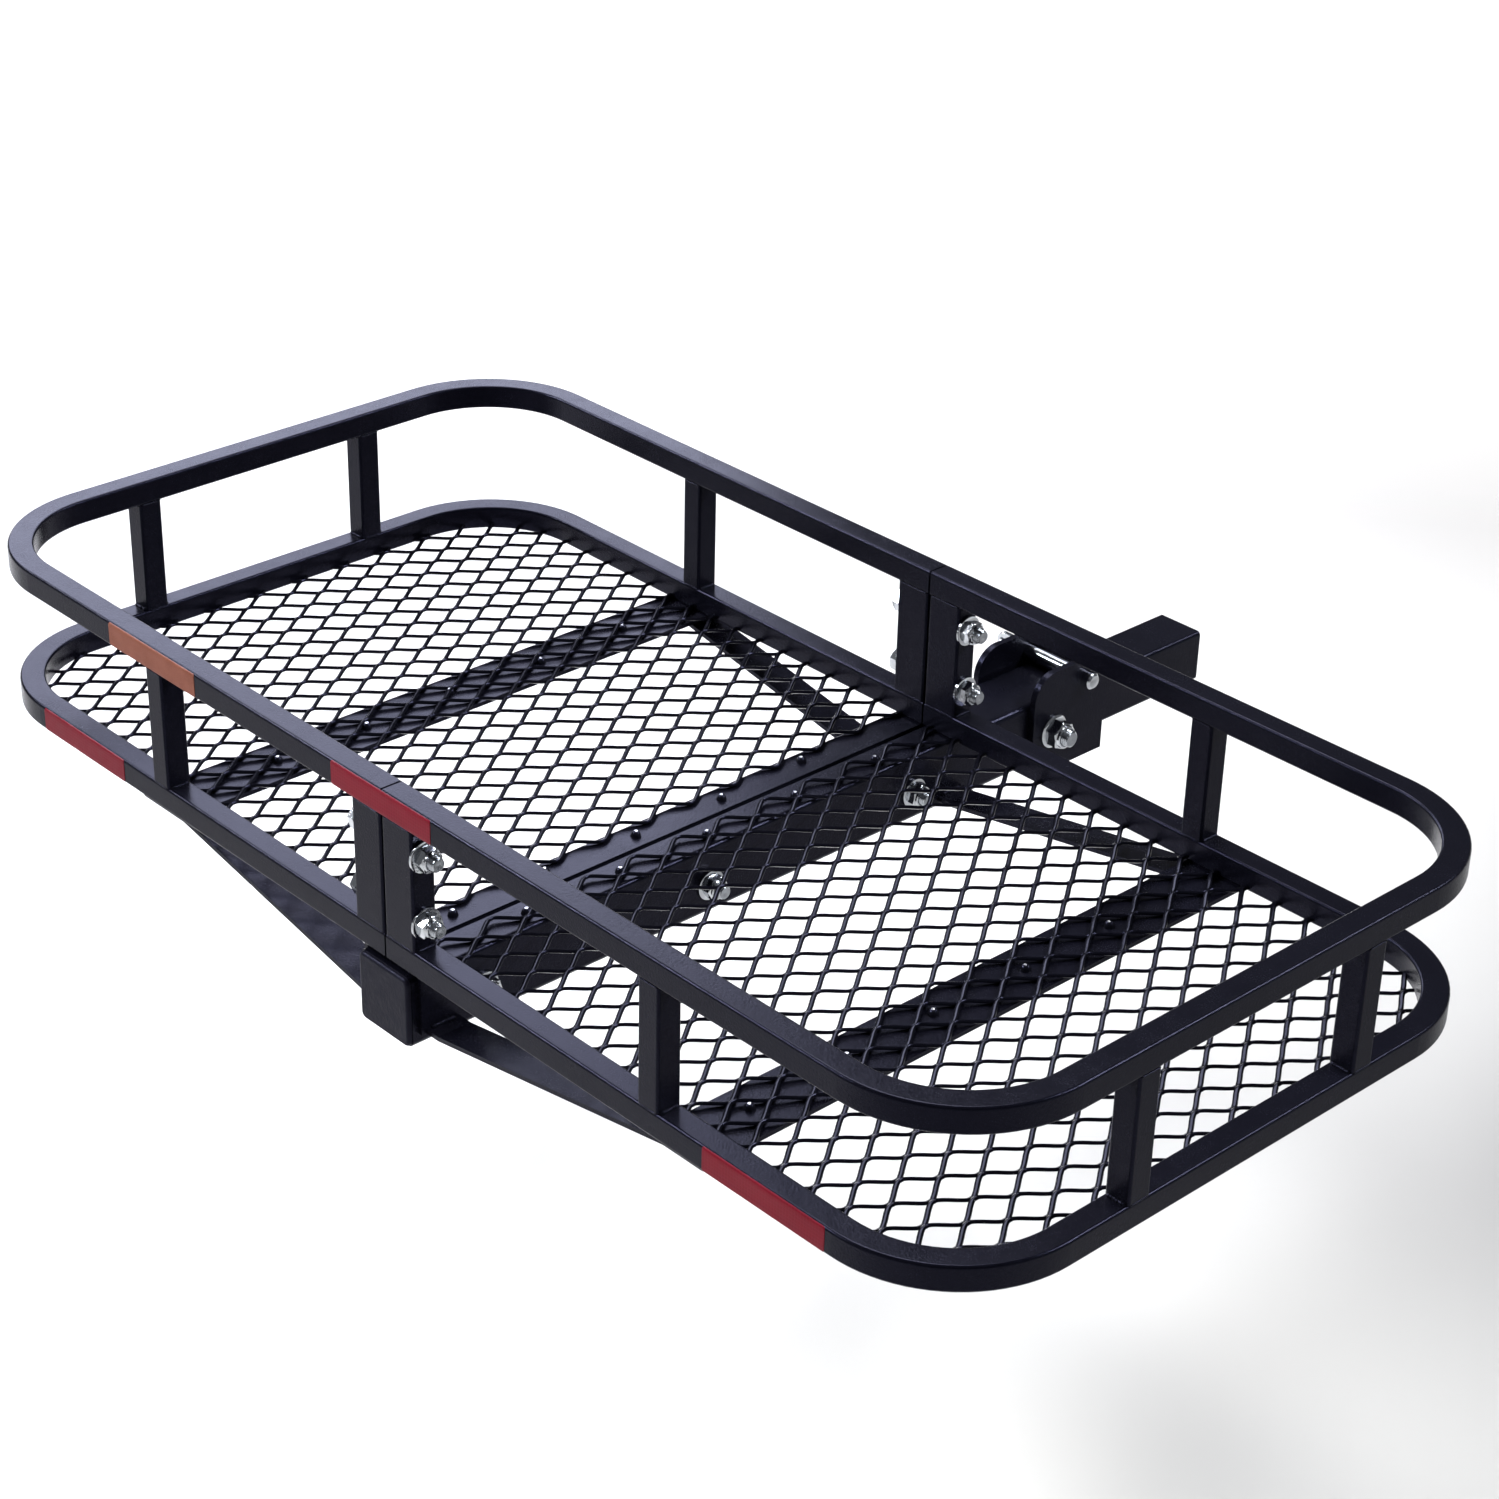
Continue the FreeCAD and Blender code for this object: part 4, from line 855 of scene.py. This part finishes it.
def stop_pin_piece():
    """The stop pin with a chamfered tip, a turned collar and a round-ended tab for the ring."""
    low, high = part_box("stop_pin")
    axis = Vector((0, (low.y + high.y) / 2, (low.z + high.z) / 2))
    collar = low.x + TAB_LENGTH
    shoulder = collar + COLLAR_THICKNESS
    bevel = COLLAR_BEVEL
    profile = [(collar, COLLAR_RADIUS - 2 * bevel), (collar + 0.3 * bevel, COLLAR_RADIUS - 0.5 * bevel),
               (collar + bevel, COLLAR_RADIUS), (shoulder - bevel, COLLAR_RADIUS),
               (shoulder - 0.3 * bevel, COLLAR_RADIUS - 0.5 * bevel),
               (shoulder, COLLAR_RADIUS - 2 * bevel), (shoulder, PIN_RADIUS),
               (high.x - 2.2 * MM, PIN_RADIUS), (high.x - 0.3 * MM, PIN_RADIUS - 1.9 * MM),
               (high.x, PIN_RADIUS - 2.4 * MM)]
    builder = Builder()
    builder.rings(disc_rings(axis, profile, HEX_SIDES))
    builder.rings(pin_tab_rings(low.x, axis), wrap=True)
    builder.piece("turned_stop_pin", [ZINC], "stop_pin", ["stop_pin"], FASTENER_SMOOTH)


stop_pin_piece()


# ---------------------------------------------------------------- tapes and label

FILM_THICKNESS = 0.35 * MM
FILM_GAP = 0.02 * MM
FILM_CORNER = 1.6 * MM
FILM_CORNER_STEPS = (0.0, 0.12, 0.35, 0.65, 1.0)
FILM_COLUMNS = 24
FILM_STEPS = 3              # steps from the middle to the flat's end, and again round the edge
FILM_EDGE_TURN = 17         # degrees round the rail's edge at each step
FILM_FLAT = TUBE / 2 - RAIL_EDGE        # half the height of the rail's flat face
FILM_SMOOTH = 30.0


def film_profile():
    """Points (y, z, angle) up the rail's rear face and a little way round its soft edges."""
    profile = []
    for step in range(-2 * FILM_STEPS, 2 * FILM_STEPS + 1):
        if abs(step) <= FILM_STEPS:
            profile.append((REAR_Y, FILM_FLAT * step / FILM_STEPS, 0.0))
        else:
            angle = math.radians((abs(step) - FILM_STEPS) * FILM_EDGE_TURN)
            sign = 1 if step > 0 else -1
            profile.append((REAR_Y + RAIL_EDGE * (1 - math.cos(angle)),
                            sign * (FILM_FLAT + RAIL_EDGE * math.sin(angle)), sign * angle))
    return profile


def film_stations(low_x, high_x):
    """Places along the film, each with how far into a round corner it lies, from 0 to 1."""
    stations = [(low_x + FILM_CORNER * c, 1 - c) for c in FILM_CORNER_STEPS]
    straight = high_x - low_x - 2 * FILM_CORNER
    stations += [(low_x + FILM_CORNER + straight * k / FILM_COLUMNS, 0.0)
                 for k in range(1, FILM_COLUMNS)]
    stations += [(high_x - FILM_CORNER * c, 1 - c) for c in FILM_CORNER_STEPS[::-1]]
    return stations


def film(name, node, look):
    """A strip of film with round corners and thin edges, which follows the rail's face."""
    low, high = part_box(node)
    middle_z = (low.z + high.z) / 2
    profile = film_profile()
    last = len(profile) - 1
    rings = []
    for x, cut in film_stations(low.x, high.x):
        pull = FILM_CORNER * (1 - math.sqrt(max(0.0, 1 - cut * cut))) / (FILM_FLAT * 1.15)
        outer, inner = [], []
        for index, (y, z, angle) in enumerate(profile):
            outwards = Vector((0, -math.cos(angle), math.sin(angle)))
            base = Vector((x, y, middle_z + z * (1 - pull)))
            lift = FILM_THICKNESS * (0.35 if index in (0, last) or cut == 1.0 else 1.0)
            outer.append(base + outwards * lift)
            inner.append(base + outwards * FILM_GAP)
        rings.append(outer + inner[::-1])
    builder = Builder()
    builder.rings(rings)
    builder.piece(name, [look], "basket", [node], FILM_SMOOTH)


for tape in ("left_reflector", "right_reflector", "centre_reflector"):
    film(tape + "_film", tape, FILM)
film("plain_label_film", "notice_label", LABEL)


# ---------------------------------------------------------------- floor, light and camera

CENTRE = (0.0, MIDDLE_Y, 0.1)
WHITE = (1.0, 1.0, 1.0)
COOL_WHITE = (0.92, 0.95, 1.0)
COOL_BLUE = (0.76, 0.79, 1.0)


def add_floor():
    """The stage's floor, a square grid far wider than the object."""
    count, size = 24, 60.0
    points = [((i / count - 0.5) * size, (j / count - 0.5) * size, STAGE_Z)
              for j in range(count + 1) for i in range(count + 1)]
    row = count + 1
    faces = [[j * row + i, j * row + i + 1, (j + 1) * row + i + 1, (j + 1) * row + i]
             for j in range(count) for i in range(count)]
    mesh = bpy.data.meshes.new("studio_floor")
    mesh.from_pydata(points, [], faces)
    mesh.materials.append(FLOOR)
    obj = bpy.data.objects.new("studio_floor", mesh)
    bpy.context.scene.collection.objects.link(obj)


def add_light(name, target, direction, distance, size, power, colour, spread):
    """A soft box at a distance from its target, in the given direction, with a spread in degrees."""
    light = bpy.data.lights.new(name, "AREA")
    light.shape = "RECTANGLE"
    light.size, light.size_y = size
    light.energy = power
    light.color = colour
    light.spread = math.radians(spread)
    obj = bpy.data.objects.new(name, light)
    way = Vector(direction).normalized()
    obj.location = Vector(target) + way * distance
    obj.rotation_euler = way.to_track_quat("Z", "Y").to_euler()
    bpy.context.scene.collection.objects.link(obj)


def add_world():
    """A dim, even light from all sides, and the plain view transform."""
    world = bpy.data.worlds.new("studio_world")
    world.use_nodes = True
    background = world.node_tree.nodes["Background"]
    background.inputs["Color"].default_value = (0.93, 0.95, 1.0, 1.0)
    background.inputs["Strength"].default_value = 0.16
    bpy.context.scene.world = world
    bpy.context.scene.view_settings.view_transform = "Standard"


def add_camera():
    """The camera's place in metres, its aim and roll in degrees, and its lens in millimetres."""
    place = Vector((1.73868, -2.11176, 1.39018))
    azimuth, elevation, roll = (math.radians(a) for a in (46.812, 28.689, 1.366))
    forward = Vector((-math.sin(azimuth) * math.cos(elevation), math.cos(azimuth) * math.cos(elevation),
                      -math.sin(elevation)))
    right = forward.cross(Vector((0, 0, 1))).normalized()
    up = right.cross(forward)
    camera_right = right * math.cos(roll) + up * math.sin(roll)
    camera_up = up * math.cos(roll) - right * math.sin(roll)
    data = bpy.data.cameras.new("camera")
    data.sensor_fit = "HORIZONTAL"
    data.sensor_width = 36.0
    data.lens = 78.160107
    data.clip_start, data.clip_end = 0.05, 100.0
    camera = bpy.data.objects.new("camera", data)
    rotation = Matrix((camera_right, camera_up, -forward)).transposed().to_4x4()
    camera.matrix_world = Matrix.Translation(place) @ rotation
    bpy.context.scene.collection.objects.link(camera)
    bpy.context.scene.camera = camera


add_floor()
add_world()
add_light("back_softbox", (-0.61, -1.21, 0.1), (-0.66, 0.62, 0.50), 2.4, (1.9, 1.3), 50.0,
          COOL_BLUE, 180.0)
add_light("key_softbox", CENTRE, (-0.40, 0.30, 1.0), 3.4, (1.3, 1.3), 84.0, WHITE, 180.0)
add_light("left_strip_light", CENTRE, (-0.64, -0.47, 0.59), 3.0, (2.2, 0.24), 15.0, COOL_WHITE, 50.0)
add_light("right_strip_light", CENTRE, (0.47, 0.60, 0.63), 3.0, (2.2, 0.24), 13.0, COOL_WHITE, 50.0)
add_camera()
